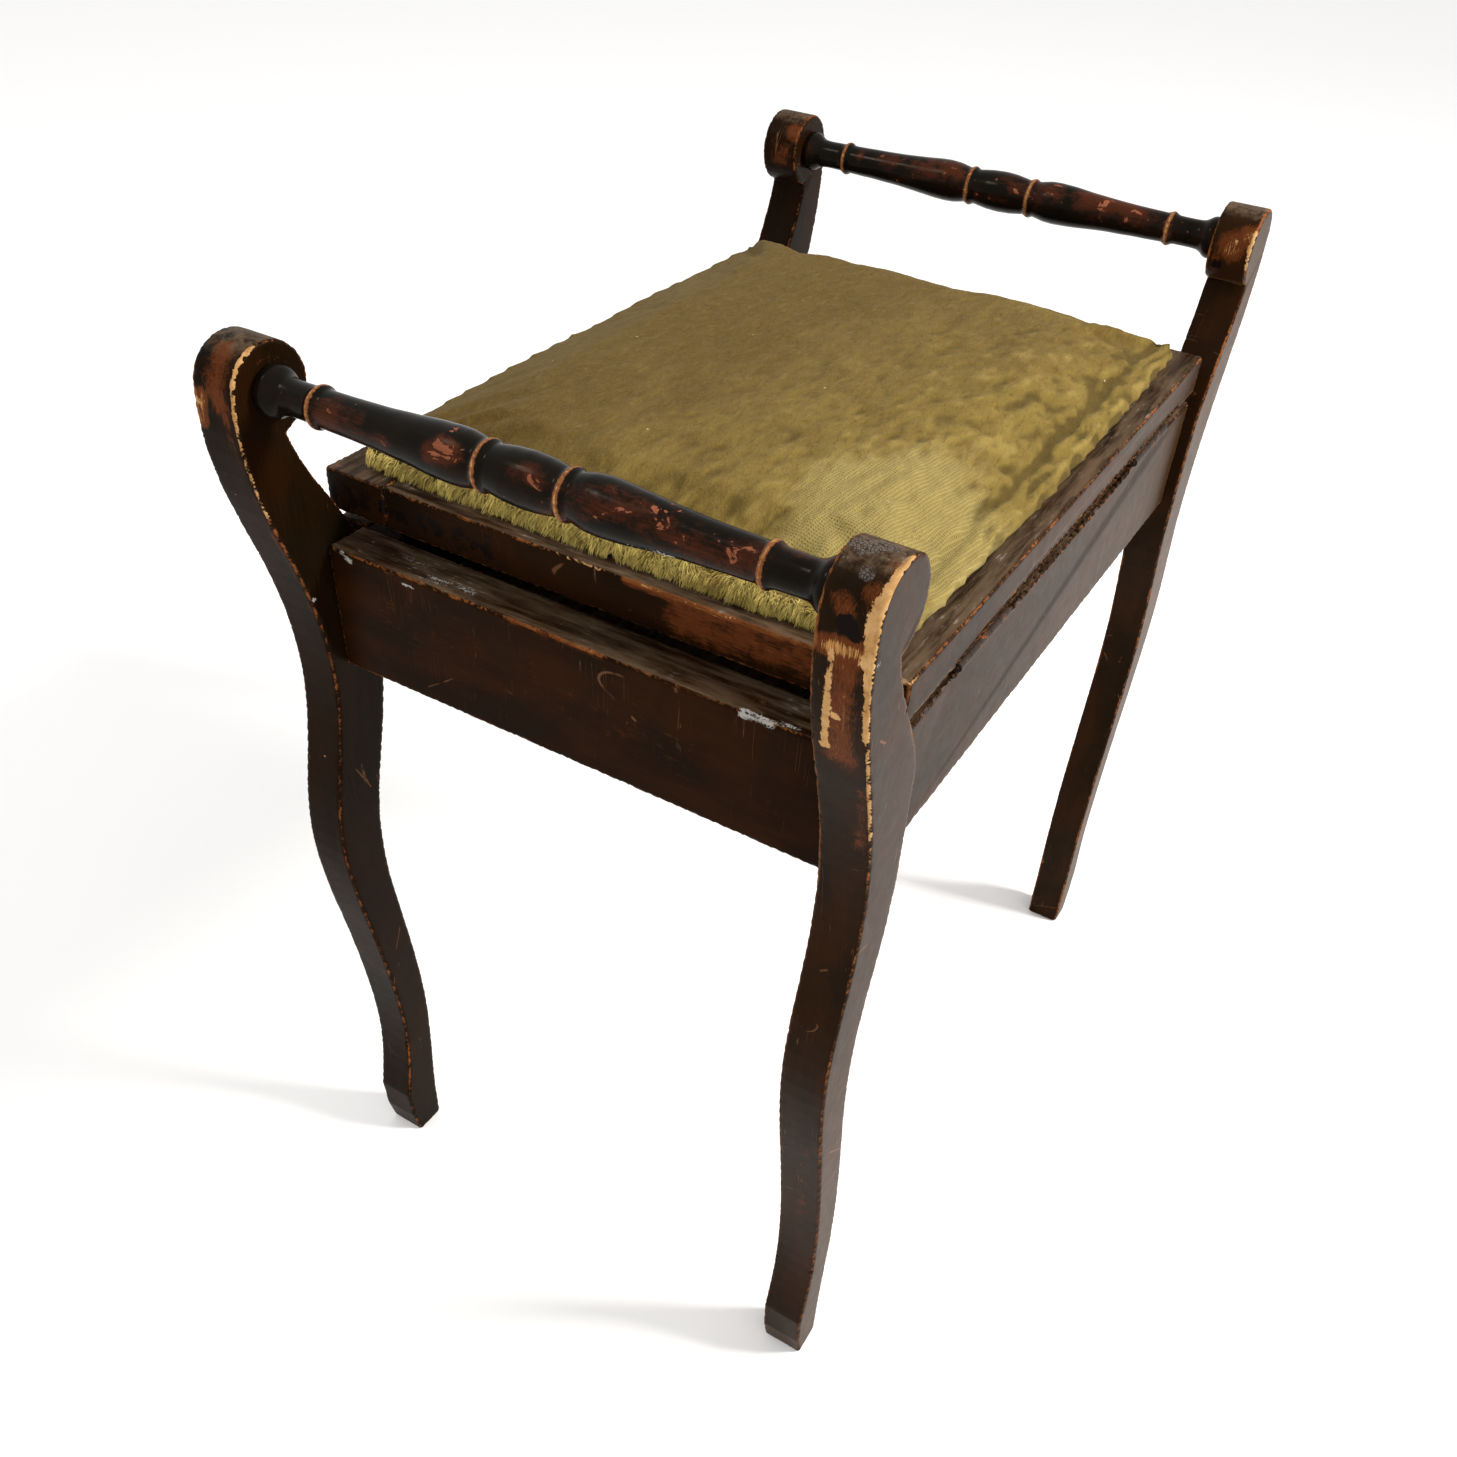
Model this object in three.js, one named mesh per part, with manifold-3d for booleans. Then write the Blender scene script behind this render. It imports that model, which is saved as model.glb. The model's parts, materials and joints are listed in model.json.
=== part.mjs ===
// A piano stool with a lift-up padded seat over a sheet-music compartment.
// Four sawn S-shaped legs run from the floor past the seat and end in round scroll heads, which carry
// two turned handles. Rails dowelled between the legs form the box. Millimetres, +Z up, X along the long
// side from handle to handle, -Y the opening side, +Y the hinge side. The origin is on the floor, centred.
import * as THREE from "three";
import { mergeVertices } from "three/addons/utils/BufferGeometryUtils.js";
import Module from "manifold-3d";

// Driving dimensions
const GAP = 0.3; // clearance between pieces that touch
const PAST = 1; // how far a cut runs past the face it opens
const SEAT_TOP = 504.4; // top face of the lid frame above the floor
const LID = { length: 424, width: 323, thickness: 22.4, stile: 38, rebate: 8, panel: 8 };
const TENON = { reach: 10, thickness: 8, rise: 4.5, shoulder: 5 }; // rise is above the underside of the lid
const LID_CLEARANCE = 6; // open slot between the lid and the rails
const LEG = { outerY: 169, thickness: 25, railSeatX: 208.5 };
const HEAD = { x: 250, z: 562, radius: 22, from: 0.26, to: 4.45 }; // scroll head, its arc in radians
const RAIL = { height: 70, sideThickness: 20, endThickness: 25, endOuterX: 234, sideOuterY: 161.5 };
const DOWEL = { radius: 4, inRail: 18, inLeg: 14, sideInset: 11, endInset: 25, chamfer: 1 };
const HANDLE = { tenonRadius: 7, tenonLength: 14 };
const BATTEN = { size: 12, trim: 4 };
const FLOOR_THICKNESS = 5;
const BLOCK = { leg: 20, tip: 4, below: 0.4 };
const PAD = { length: 406, width: 312, shiftY: -2, edge: 12, crown: 25, corner: 5 };
const HINGE = {
  centreX: 125,
  length: 58,
  leafWidth: 20,
  leafThickness: 1.3,
  knuckleRadius: 2.5,
  boreRadius: 1.28,
  pinRadius: 1.2,
  pinOverhang: 0.8,
  proudY: -0.8,
  knuckles: 5,
  reliefRadius: 3.3,
  reliefOverhang: 1,
};
const SCREW = { head: 2.9, shank: 1.4, length: 13, taper: 4, slotWidth: 0.8, slotDepth: 0.5, spacing: 20 };
const ROUND = { handle: 16, dowel: 10, knuckle: 16, screw: 10, hole: 16 }; // sides of round work
const STEPS = { outer: 50, head: 20, neck: 12, inner: 36, bead: 3, padX: 16, padY: 12 }; // along each curve

// Derived places
const LID_BOTTOM = SEAT_TOP - LID.thickness;
const RAIL_TOP = LID_BOTTOM - LID_CLEARANCE;
const RAIL_BOTTOM = RAIL_TOP - RAIL.height;
const LEG_INNER_Y = LEG.outerY - LEG.thickness;
const LEG_MID_Y = LEG.outerY - LEG.thickness / 2;
const END_INNER_X = RAIL.endOuterX - RAIL.endThickness;
const END_MID_X = RAIL.endOuterX - RAIL.endThickness / 2;
const SIDE_INNER_Y = RAIL.sideOuterY - RAIL.sideThickness;
const SIDE_MID_Y = RAIL.sideOuterY - RAIL.sideThickness / 2;
const HINGE_Y = RAIL.sideOuterY + HINGE.proudY;
const HINGE_Z = RAIL_TOP + LID_CLEARANCE / 2;

const wasm = await Module();
wasm.setup();

const wood = (color, roughness) => new THREE.MeshStandardMaterial({ color, roughness, metalness: 0 });
const metal = (color, roughness) => new THREE.MeshStandardMaterial({ color, roughness, metalness: 1 });
const finishes = {
  lacquer: () => wood(0x2e1a12, 0.42),
  ebonised: () => wood(0x17100c, 0.28),
  inside: () => wood(0x6a4a2e, 0.75),
  dowel: () => wood(0xa9855a, 0.8),
  velvet: () => wood(0x93822f, 0.95),
  iron: () => metal(0x4a382c, 0.55),
  screw: () => metal(0x6d655c, 0.5),
};

const stool = new THREE.Group();
stool.name = "piano_stool";

function add(name, geometry, finish) {
  const mesh = new THREE.Mesh(geometry, finishes[finish]());
  mesh.name = name;
  stool.add(mesh);
  return mesh;
}

// Boolean work: closed geometries become solids, and the result becomes a geometry again
function solid(geometry) {
  const bare = geometry.clone();
  bare.deleteAttribute("normal");
  bare.deleteAttribute("uv");
  const merged = mergeVertices(bare, 1e-4);
  const vertProperties = new Float32Array(merged.attributes.position.array);
  const triVerts = new Uint32Array(merged.index.array);
  return new wasm.Manifold(new wasm.Mesh({ numProp: 3, vertProperties, triVerts }));
}

function geometryOf(body) {
  const mesh = body.getMesh();
  const geometry = new THREE.BufferGeometry();
  geometry.setAttribute("position", new THREE.BufferAttribute(new Float32Array(mesh.vertProperties), 3));
  geometry.setIndex(new THREE.BufferAttribute(new Uint32Array(mesh.triVerts), 1));
  geometry.computeVertexNormals();
  return geometry;
}

function carve(geometry, { join = [], cut = [] }) {
  let body = solid(geometry);
  for (const piece of join) body = body.add(solid(piece));
  for (const piece of cut) body = body.subtract(solid(piece));
  return geometryOf(body);
}

const box = (x0, x1, y0, y1, z0, z1) =>
  new THREE.BoxGeometry(x1 - x0, y1 - y0, z1 - z0).translate((x0 + x1) / 2, (y0 + y1) / 2, (z0 + z1) / 2);

// A round bar between two values of one axis ("x", "y" or "z") through the point (a, b) of the other two
function bar(axis, from, to, a, b, radius, sides) {
  const geometry = new THREE.CylinderGeometry(radius, radius, to - from, sides);
  const middle = (from + to) / 2;
  if (axis === "x") return geometry.rotateZ(Math.PI / 2).translate(middle, a, b);
  if (axis === "y") return geometry.translate(a, middle, b);
  return geometry.rotateX(Math.PI / 2).translate(a, b, middle);
}

// Turned work about the Y axis: profile holds [distance along the axis, radius]
function turned(profile, sides) {
  const points = profile.map(([along, radius]) => new THREE.Vector2(radius, along));
  return new THREE.LatheGeometry(points, sides);
}

// Legs. The outline lies in the X-Z plane and is drawn for the +X side.
const spline = (points, steps) =>
  new THREE.SplineCurve(points.map(([x, z]) => new THREE.Vector2(x, z))).getSpacedPoints(steps);

const onHead = (angle) => [HEAD.x + HEAD.radius * Math.cos(angle), HEAD.z + HEAD.radius * Math.sin(angle)];

function legOutline() {
  const foot = [new THREE.Vector2(219.5, 0), new THREE.Vector2(239.5, 0), new THREE.Vector2(244, 20)];
  const outer = spline(
    [
      [245.5, 44], [240, 74], [238, 106], [241, 150], [248, 200], [255.5, 245], [259.5, 286], [257, 320],
      [250, 352], [245, 381], [244, 407], [247, 436], [253.5, 465], [262, 492], [268.5, 515], [272.2, 537],
      [272.8, 553], onHead(HEAD.from),
    ],
    STEPS.outer,
  );
  const head = [];
  for (let i = 1; i <= STEPS.head; i += 1) {
    const angle = HEAD.from + ((HEAD.to - HEAD.from) * i) / STEPS.head;
    head.push(new THREE.Vector2(...onHead(angle)));
  }
  const neck = spline(
    [
      [245.4, 539.8], [242.2, 530], [235.8, 516], [225.5, 498],
      [214.6, 478], [210, 467], [LEG.railSeatX, 458],
    ],
    STEPS.neck,
  );
  const inner = spline(
    [
      [LEG.railSeatX, 400], [211, 373], [217.5, 345], [225, 315], [229, 285], [228.5, 250], [224.5, 215],
      [219.5, 175], [216, 135], [215.5, 105], [217, 70], [219, 38], [219.5, 0],
    ],
    STEPS.inner,
  );
  inner.pop();
  return new THREE.Shape([...foot, ...outer, ...head, ...neck, ...inner]);
}

const sides = { right: 1, left: -1 };
const fronts = { front: -1, back: 1 };

// The dowels of one corner, as [axis, start, end, a, b] with sx and sy the corner's signs
function cornerDowels(sx, sy) {
  const span = (edge, sign, inner, outer) => [edge - inner, edge + outer].map((v) => v * sign);
  const [x0, x1] = span(LEG.railSeatX, sx, DOWEL.inRail, DOWEL.inLeg).sort((p, q) => p - q);
  const [y0, y1] = span(LEG_INNER_Y, sy, DOWEL.inRail, DOWEL.inLeg).sort((p, q) => p - q);
  return {
    side_lower: ["x", x0, x1, SIDE_MID_Y * sy, RAIL_BOTTOM + DOWEL.sideInset],
    side_upper: ["x", x0, x1, SIDE_MID_Y * sy, RAIL_TOP - DOWEL.sideInset],
    end_lower: ["y", y0, y1, END_MID_X * sx, RAIL_BOTTOM + DOWEL.endInset],
    end_upper: ["y", y0, y1, END_MID_X * sx, RAIL_TOP - DOWEL.endInset],
  };
}

const dowelHole = ([axis, from, to, a, b]) =>
  bar(axis, from - GAP, to + GAP, a, b, DOWEL.radius + GAP, ROUND.dowel);

function dowelPin([axis, from, to, a, b]) {
  const half = (to - from) / 2;
  const r = DOWEL.radius;
  const c = DOWEL.chamfer;
  const profile = [[-half, 0], [-half, r - c], [c - half, r], [half - c, r], [half, r - c], [half, 0]];
  const pin = turned(profile, ROUND.dowel);
  if (axis === "x") return pin.rotateZ(-Math.PI / 2).translate((from + to) / 2, a, b);
  return pin.translate(a, (from + to) / 2, b);
}

const outline = legOutline();
for (const [side, sx] of Object.entries(sides)) {
  for (const [front, sy] of Object.entries(fronts)) {
    const dowels = cornerDowels(sx, sy);
    const leg = new THREE.ExtrudeGeometry(outline, { depth: LEG.thickness, bevelEnabled: false });
    leg.rotateX(Math.PI / 2).translate(0, LEG.thickness / 2, 0);
    if (sx < 0) leg.rotateZ(Math.PI);
    leg.translate(0, LEG_MID_Y * sy, 0);
    const socketEnd = (LEG_INNER_Y + HANDLE.tenonLength + GAP) * sy;
    const [y0, y1] = [(LEG_INNER_Y - PAST) * sy, socketEnd].sort((p, q) => p - q);
    const socket = bar("y", y0, y1, HEAD.x * sx, HEAD.z, HANDLE.tenonRadius + GAP, ROUND.handle);
    const cut = [socket, ...Object.values(dowels).map(dowelHole)];
    add(`leg_${front}_${side}`, carve(leg, { cut }), "lacquer");
    for (const [place, dowel] of Object.entries(dowels)) {
      add(`dowel_${front}_${side}_${place}`, dowelPin(dowel), "dowel");
    }
  }
}

// Handles: a barrel between two vases, parted by bead rings, with a collar at each leg
function bead(centre, low, high, width) {
  const points = [];
  for (let i = 0; i <= STEPS.bead; i += 1) {
    const angle = (Math.PI * i) / STEPS.bead;
    points.push([centre - (width / 2) * Math.cos(angle), low + (high - low) * Math.sin(angle)]);
  }
  return points;
}

function handleProfile() {
  const end = LEG_INNER_Y - GAP;
  const half = [
    [0, 12.3], [8, 11.9], [14, 11], [18, 10.3],
    ...bead(21, 10.3, 12.2, 4.6),
    [26.5, 11.1], [32, 12.2], [38.5, 12.5], [48, 12], [60, 10.9], [75, 9.8], [92, 9.1], [110, 8.7],
    ...bead(113.5, 8.7, 10.6, 4.4),
    [118, 8.4], [128, 8.3], [133, 8.6], [135.5, 9.8], [137.5, 11.6], [139.5, 12.4], [141.5, 12.3],
    [end, 11.6], [end, HANDLE.tenonRadius], [end + HANDLE.tenonLength, HANDLE.tenonRadius],
    [end + HANDLE.tenonLength, 0],
  ];
  const mirrored = half.slice(1).map(([along, radius]) => [-along, radius]);
  return [...mirrored.reverse(), ...half];
}

for (const [side, sx] of Object.entries(sides)) {
  const handle = add(`handle_${side}`, turned(handleProfile(), ROUND.handle), "ebonised");
  handle.position.set(HEAD.x * sx, 0, HEAD.z);
}

// Hinge places and the round relief that both knuckle edges are given
const hingeRelief = (cx) => {
  const half = HINGE.length / 2 + HINGE.reliefOverhang;
  return bar("x", cx - half, cx + half, HINGE_Y, HINGE_Z, HINGE.reliefRadius, ROUND.hole);
};
const screwXs = (cx) => [-1, 0, 1].map((step) => cx + step * SCREW.spacing);
const screwY = HINGE_Y - HINGE.leafWidth / 2 - HINGE.knuckleRadius / 2;
const hinges = Object.entries(sides).map(([side, sx]) => ({ side, cx: HINGE.centreX * sx }));
const pilotHoles = (z0, z1) =>
  hinges.flatMap(({ cx }) =>
    screwXs(cx).map((x) => bar("z", z0, z1, x, screwY, SCREW.shank + GAP, ROUND.screw)),
  );

// Rails
const allDowels = Object.values(sides).flatMap((sx) =>
  Object.values(fronts).map((sy) => ({ sx, sy, dowels: cornerDowels(sx, sy) })),
);
const holesFor = (test, prefix) =>
  allDowels
    .filter(test)
    .flatMap(({ dowels }) => Object.entries(dowels).filter(([place]) => place.startsWith(prefix)))
    .map(([, dowel]) => dowelHole(dowel));

for (const [front, sy] of Object.entries(fronts)) {
  const [y0, y1] = [SIDE_INNER_Y * sy, RAIL.sideOuterY * sy].sort((p, q) => p - q);
  const rail = box(GAP - LEG.railSeatX, LEG.railSeatX - GAP, y0, y1, RAIL_BOTTOM, RAIL_TOP);
  const cut = holesFor((corner) => corner.sy === sy, "side");
  if (sy > 0) {
    cut.push(...hinges.map(({ cx }) => hingeRelief(cx)));
    cut.push(...pilotHoles(RAIL_TOP - SCREW.length - PAST, RAIL_TOP + PAST));
  }
  add(`${front}_rail`, carve(rail, { cut }), "lacquer");
}

for (const [side, sx] of Object.entries(sides)) {
  const [x0, x1] = [END_INNER_X * sx, RAIL.endOuterX * sx].sort((p, q) => p - q);
  const rail = box(x0, x1, GAP - LEG_INNER_Y, LEG_INNER_Y - GAP, RAIL_BOTTOM, RAIL_TOP);
  add(`end_rail_${side}`, carve(rail, { cut: holesFor((corner) => corner.sx === sx, "end") }), "lacquer");
}

// Compartment: battens along the long rails, a thin floor on them, and a glue block in each corner
const roomX = END_INNER_X - GAP;
const roomY = SIDE_INNER_Y - GAP;
const floorBottom = RAIL_BOTTOM + BATTEN.size + GAP;
for (const [front, sy] of Object.entries(fronts)) {
  const [y0, y1] = [(roomY - BATTEN.size) * sy, roomY * sy].sort((p, q) => p - q);
  const x = roomX - BATTEN.trim;
  add(`floor_batten_${front}`, box(-x, x, y0, y1, RAIL_BOTTOM, RAIL_BOTTOM + BATTEN.size), "inside");
}
add("floor_board", box(-roomX, roomX, -roomY, roomY, floorBottom, floorBottom + FLOOR_THICKNESS), "inside");

function blockShape() {
  const { leg, tip } = BLOCK;
  const corners = [[0, 0], [0, -leg], [-tip, -leg], [-leg, -tip], [-leg, 0]];
  return new THREE.Shape(corners.map(([x, y]) => new THREE.Vector2(x, y)));
}

const blockBottom = floorBottom + FLOOR_THICKNESS + GAP;
for (const [side, sx] of Object.entries(sides)) {
  for (const [front, sy] of Object.entries(fronts)) {
    const depth = RAIL_TOP - BLOCK.below - blockBottom;
    const block = new THREE.ExtrudeGeometry(blockShape(), { depth, bevelEnabled: false });
    const mesh = add(`corner_block_${front}_${side}`, block, "inside");
    mesh.rotation.z = Math.atan2(sy, sx) - Math.PI / 4;
    mesh.position.set(roomX * sx, roomY * sy, blockBottom);
  }
}

// Lid: two long stiles, two short rails tenoned between them, and a thin panel in the rebate
const lidX = LID.length / 2;
const lidY = LID.width / 2;
const openX = lidX - LID.stile;
const openY = lidY - LID.stile;
const rebateX = openX + LID.rebate;
const rebateY = openY + LID.rebate;
const rebateZ = SEAT_TOP - LID.panel;
const rebate = box(-rebateX, rebateX, -rebateY, rebateY, rebateZ, SEAT_TOP + PAST);
const tenonBottom = LID_BOTTOM + TENON.rise;
const tenonX = [openX + TENON.shoulder, lidX - TENON.shoulder];
const lidTenon = (sx, sy, grow) => {
  const [x0, x1] = tenonX.map((x) => x * sx).sort((p, q) => p - q);
  const [y0, y1] = [(openY - PAST) * sy, (openY + TENON.reach) * sy].sort((p, q) => p - q);
  const [z0, z1] = [tenonBottom - grow, tenonBottom + TENON.thickness + grow];
  return box(x0 - grow, x1 + grow, y0 - grow, y1 + grow, z0, z1);
};

for (const [front, sy] of Object.entries(fronts)) {
  const [y0, y1] = [openY * sy, lidY * sy].sort((p, q) => p - q);
  const cut = [rebate, lidTenon(1, sy, GAP), lidTenon(-1, sy, GAP)];
  if (sy > 0) {
    cut.push(...hinges.map(({ cx }) => hingeRelief(cx)));
    cut.push(...pilotHoles(LID_BOTTOM - PAST, LID_BOTTOM + SCREW.length + PAST));
  }
  add(`lid_stile_${front}`, carve(box(-lidX, lidX, y0, y1, LID_BOTTOM, SEAT_TOP), { cut }), "lacquer");
}
for (const [side, sx] of Object.entries(sides)) {
  const [x0, x1] = [openX * sx, lidX * sx].sort((p, q) => p - q);
  const rail = box(x0, x1, GAP - openY, openY - GAP, LID_BOTTOM, SEAT_TOP);
  const join = [lidTenon(sx, 1, 0), lidTenon(sx, -1, 0)];
  add(`lid_rail_${side}`, carve(rail, { join, cut: [rebate] }), "lacquer");
}
add(
  "lid_panel",
  box(GAP - rebateX, rebateX - GAP, GAP - rebateY, rebateY - GAP, rebateZ + GAP, SEAT_TOP),
  "inside",
);

// Pad: a crowned cushion, highest in the middle, with rounded corners and a flat underside
function padGeometry() {
  const geometry = new THREE.BoxGeometry(PAD.length, PAD.width, 1, STEPS.padX, STEPS.padY, 1);
  const position = geometry.attributes.position;
  const halfX = PAD.length / 2;
  const halfY = PAD.width / 2;
  for (let i = 0; i < position.count; i += 1) {
    const u = position.getX(i) / halfX;
    const v = position.getY(i) / halfY;
    const pull = 1 - (PAD.corner / halfX) * u * u * v * v;
    position.setX(i, position.getX(i) * pull);
    position.setY(i, position.getY(i) * pull);
    const crown = Math.sqrt(Math.max(0, (1 - u ** 4) * (1 - v ** 4)));
    position.setZ(i, position.getZ(i) > 0 ? PAD.edge + (PAD.crown - PAD.edge) * crown : 0);
  }
  geometry.computeVertexNormals();
  return geometry;
}
add("seat_pad", padGeometry(), "velvet").position.set(0, PAD.shiftY, SEAT_TOP + GAP);

// Hinges: two leaves with interleaved knuckles on one pin, each leaf held by three screws
const leafFaces = {
  frame: { from: RAIL_TOP + GAP / 2, up: 1, first: 0 },
  lid: { from: LID_BOTTOM - GAP / 2, up: -1, first: 1 },
};

// A countersunk slotted screw, head at the origin, pointing along -Z
function screwGeometry(grow = 0) {
  const neck = HINGE.leafThickness;
  const profile = [
    [0, 0], [0, SCREW.head + grow], [-neck, SCREW.shank + grow],
    [SCREW.taper - SCREW.length, SCREW.shank + grow], [-SCREW.length, 0],
  ];
  return turned(profile.reverse(), ROUND.screw).rotateX(Math.PI / 2);
}

function leafGeometry(cx, { from, up, first }) {
  const half = HINGE.length / 2;
  const face = from + up * HINGE.leafThickness;
  const [z0, z1] = [from, face].sort((p, q) => p - q);
  const plate = box(cx - half, cx + half, HINGE_Y - HINGE.leafWidth, HINGE_Y, z0, z1);
  const pitch = HINGE.length / HINGE.knuckles;
  const rings = [];
  const slots = [];
  for (let i = 0; i < HINGE.knuckles; i += 1) {
    const start = cx - half + i * pitch;
    if (i % 2 === first) {
      const [left, right] = [i ? GAP / 2 : 0, i < HINGE.knuckles - 1 ? GAP / 2 : 0];
      const [x0, x1] = [start + left, start + pitch - right];
      rings.push(bar("x", x0, x1, HINGE_Y, HINGE_Z, HINGE.knuckleRadius, ROUND.knuckle));
    } else {
      const reach = HINGE.knuckleRadius + GAP;
      const [x0, x1] = [start - GAP / 2, start + pitch + GAP / 2];
      slots.push(box(x0, x1, HINGE_Y - reach, HINGE_Y + reach, z0 - PAST, z1 + PAST));
    }
  }
  const past = half + PAST;
  const bore = bar("x", cx - past, cx + past, HINGE_Y, HINGE_Z, HINGE.boreRadius, ROUND.knuckle);
  let body = solid(plate);
  for (const slot of slots) body = body.subtract(solid(slot));
  for (const ring of rings) body = body.add(solid(ring));
  body = body.subtract(solid(bore));
  for (const x of screwXs(cx)) {
    const sink = screwGeometry(GAP);
    if (up < 0) sink.rotateX(Math.PI);
    body = body.subtract(solid(sink.translate(x, screwY, face)));
  }
  return geometryOf(body);
}

const slotX = SCREW.head + PAST;
const slotY = SCREW.slotWidth / 2;
const screwSlot = box(-slotX, slotX, -slotY, slotY, -SCREW.slotDepth, PAST);
const screwBlank = carve(screwGeometry(), { cut: [screwSlot] });
for (const { side, cx } of hinges) {
  for (const [where, leaf] of Object.entries(leafFaces)) {
    add(`hinge_${side}_${where}_leaf`, leafGeometry(cx, leaf), "iron");
    screwXs(cx).forEach((x, i) => {
      const screw = add(`hinge_${side}_${where}_screw_${i + 1}`, screwBlank.clone(), "screw");
      screw.position.set(x, screwY, leaf.from + leaf.up * HINGE.leafThickness);
      if (leaf.up < 0) screw.rotation.x = Math.PI;
    });
  }
  const reach = HINGE.length / 2 + HINGE.pinOverhang;
  const pin = bar("x", cx - reach, cx + reach, HINGE_Y, HINGE_Z, HINGE.pinRadius, ROUND.knuckle);
  add(`hinge_${side}_pin`, pin, "iron");
}

export default stool;
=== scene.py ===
"""The looks of a worn piano bench: dark lacquered wood rubbed to orange and tan on its arrises,
turned ebonised handles, painted-over butt hinges and a crowned olive velvet pad."""

import json
import math
import random

import bmesh
import bpy
import numpy as np
from mathutils import Euler, Matrix, Vector, kdtree, noise
from mathutils.bvhtree import BVHTree

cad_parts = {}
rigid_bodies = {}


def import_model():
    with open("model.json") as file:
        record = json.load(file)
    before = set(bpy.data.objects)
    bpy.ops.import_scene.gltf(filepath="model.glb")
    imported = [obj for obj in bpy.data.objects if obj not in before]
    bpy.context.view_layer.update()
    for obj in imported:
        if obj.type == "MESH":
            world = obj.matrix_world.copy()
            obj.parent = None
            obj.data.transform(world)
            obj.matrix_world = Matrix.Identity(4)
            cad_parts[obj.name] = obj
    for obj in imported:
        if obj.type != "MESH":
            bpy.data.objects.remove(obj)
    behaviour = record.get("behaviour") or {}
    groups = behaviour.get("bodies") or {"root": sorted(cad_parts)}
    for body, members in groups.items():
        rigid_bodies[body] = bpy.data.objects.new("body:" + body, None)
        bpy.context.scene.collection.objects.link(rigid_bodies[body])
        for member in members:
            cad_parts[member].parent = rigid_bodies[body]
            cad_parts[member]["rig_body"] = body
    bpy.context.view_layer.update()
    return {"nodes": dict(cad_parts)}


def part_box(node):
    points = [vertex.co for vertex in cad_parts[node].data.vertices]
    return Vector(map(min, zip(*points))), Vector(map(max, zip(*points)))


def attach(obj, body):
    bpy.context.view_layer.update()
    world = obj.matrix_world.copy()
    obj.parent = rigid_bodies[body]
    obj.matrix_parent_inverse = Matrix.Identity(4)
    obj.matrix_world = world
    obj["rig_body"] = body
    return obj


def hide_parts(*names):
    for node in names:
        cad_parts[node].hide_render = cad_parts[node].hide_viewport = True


MM = 0.001
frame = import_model()
NODES = frame["nodes"]
ROOT = bpy.context.scene.collection


def linked(name, data):
    """A new object of the scene."""
    made = bpy.data.objects.new(name, data)
    ROOT.objects.link(made)
    return made


# ---------------------------------------------------------------- camera, floor and light

CAMERA_PLACE = (0.63778, 0.31757, 0.81955)
CAMERA_AZIMUTH, CAMERA_ELEVATION, CAMERA_ROLL = 118.482, 40.574, 3.749
CAMERA_LENS = 32.964
CAMERA_SHIFT = (-0.0091, 0.0503)
SENSOR = 36.0


def make_camera():
    """The camera at the viewing angle of the photograph."""
    a = math.radians(CAMERA_AZIMUTH)
    e = math.radians(CAMERA_ELEVATION)
    r = math.radians(CAMERA_ROLL)
    back = Vector((math.sin(a) * math.cos(e), -math.cos(a) * math.cos(e), math.sin(e)))
    right = Vector((0, 0, 1)).cross(back).normalized()
    up = back.cross(right)
    turned_right = math.cos(r) * right + math.sin(r) * up
    turned_up = math.cos(r) * up - math.sin(r) * right
    data = bpy.data.cameras.new("camera")
    data.sensor_width = SENSOR
    data.lens = CAMERA_LENS
    data.shift_x, data.shift_y = CAMERA_SHIFT
    camera = linked("camera", data)
    axes = Matrix((turned_right, turned_up, back)).transposed().to_4x4()
    camera.matrix_world = Matrix.Translation(CAMERA_PLACE) @ axes
    bpy.context.scene.camera = camera


LIGHT_AIM = (0, 0, 0.4)
ROOM_COLOUR, ROOM_STRENGTH = (1.0, 0.995, 0.985, 1), 0.93
WINDOW_PLACE, WINDOW_SIZE, WINDOW_POWER, WINDOW_COLOUR = (-0.7, 1.9, 1.8), 0.5, 78, (1.0, 0.975, 0.93)
LAMP_PLACE, LAMP_SIZE, LAMP_POWER, LAMP_COLOUR = (1.0, -1.2, 2.4), 0.35, 10, (1.0, 0.97, 0.93)
FLOOR_HALF = 12.0
FLOOR_DARK, FLOOR_LIGHT = (0.945, 0.945, 0.943), (0.955, 0.955, 0.954)


def area_light(name, place, size, power, colour):
    """A square soft light at place that faces the bench."""
    data = bpy.data.lights.new(name, "AREA")
    data.shape = "SQUARE"
    data.size = size
    data.energy = power
    data.color = colour
    lamp = linked(name, data)
    lamp.location = place
    lamp.rotation_mode = "QUATERNION"
    lamp.rotation_quaternion = (Vector(LIGHT_AIM) - Vector(place)).to_track_quat("-Z", "Y")


def make_light():
    """An even white room, a window beyond the hinge side and a weak lamp over the front side."""
    world = bpy.data.worlds.new("room")
    world.use_nodes = True
    background = world.node_tree.nodes["Background"]
    background.inputs["Color"].default_value = ROOM_COLOUR
    background.inputs["Strength"].default_value = ROOM_STRENGTH
    bpy.context.scene.world = world
    area_light("window", WINDOW_PLACE, WINDOW_SIZE, WINDOW_POWER, WINDOW_COLOUR)
    area_light("lamp", LAMP_PLACE, LAMP_SIZE, LAMP_POWER, LAMP_COLOUR)


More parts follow.
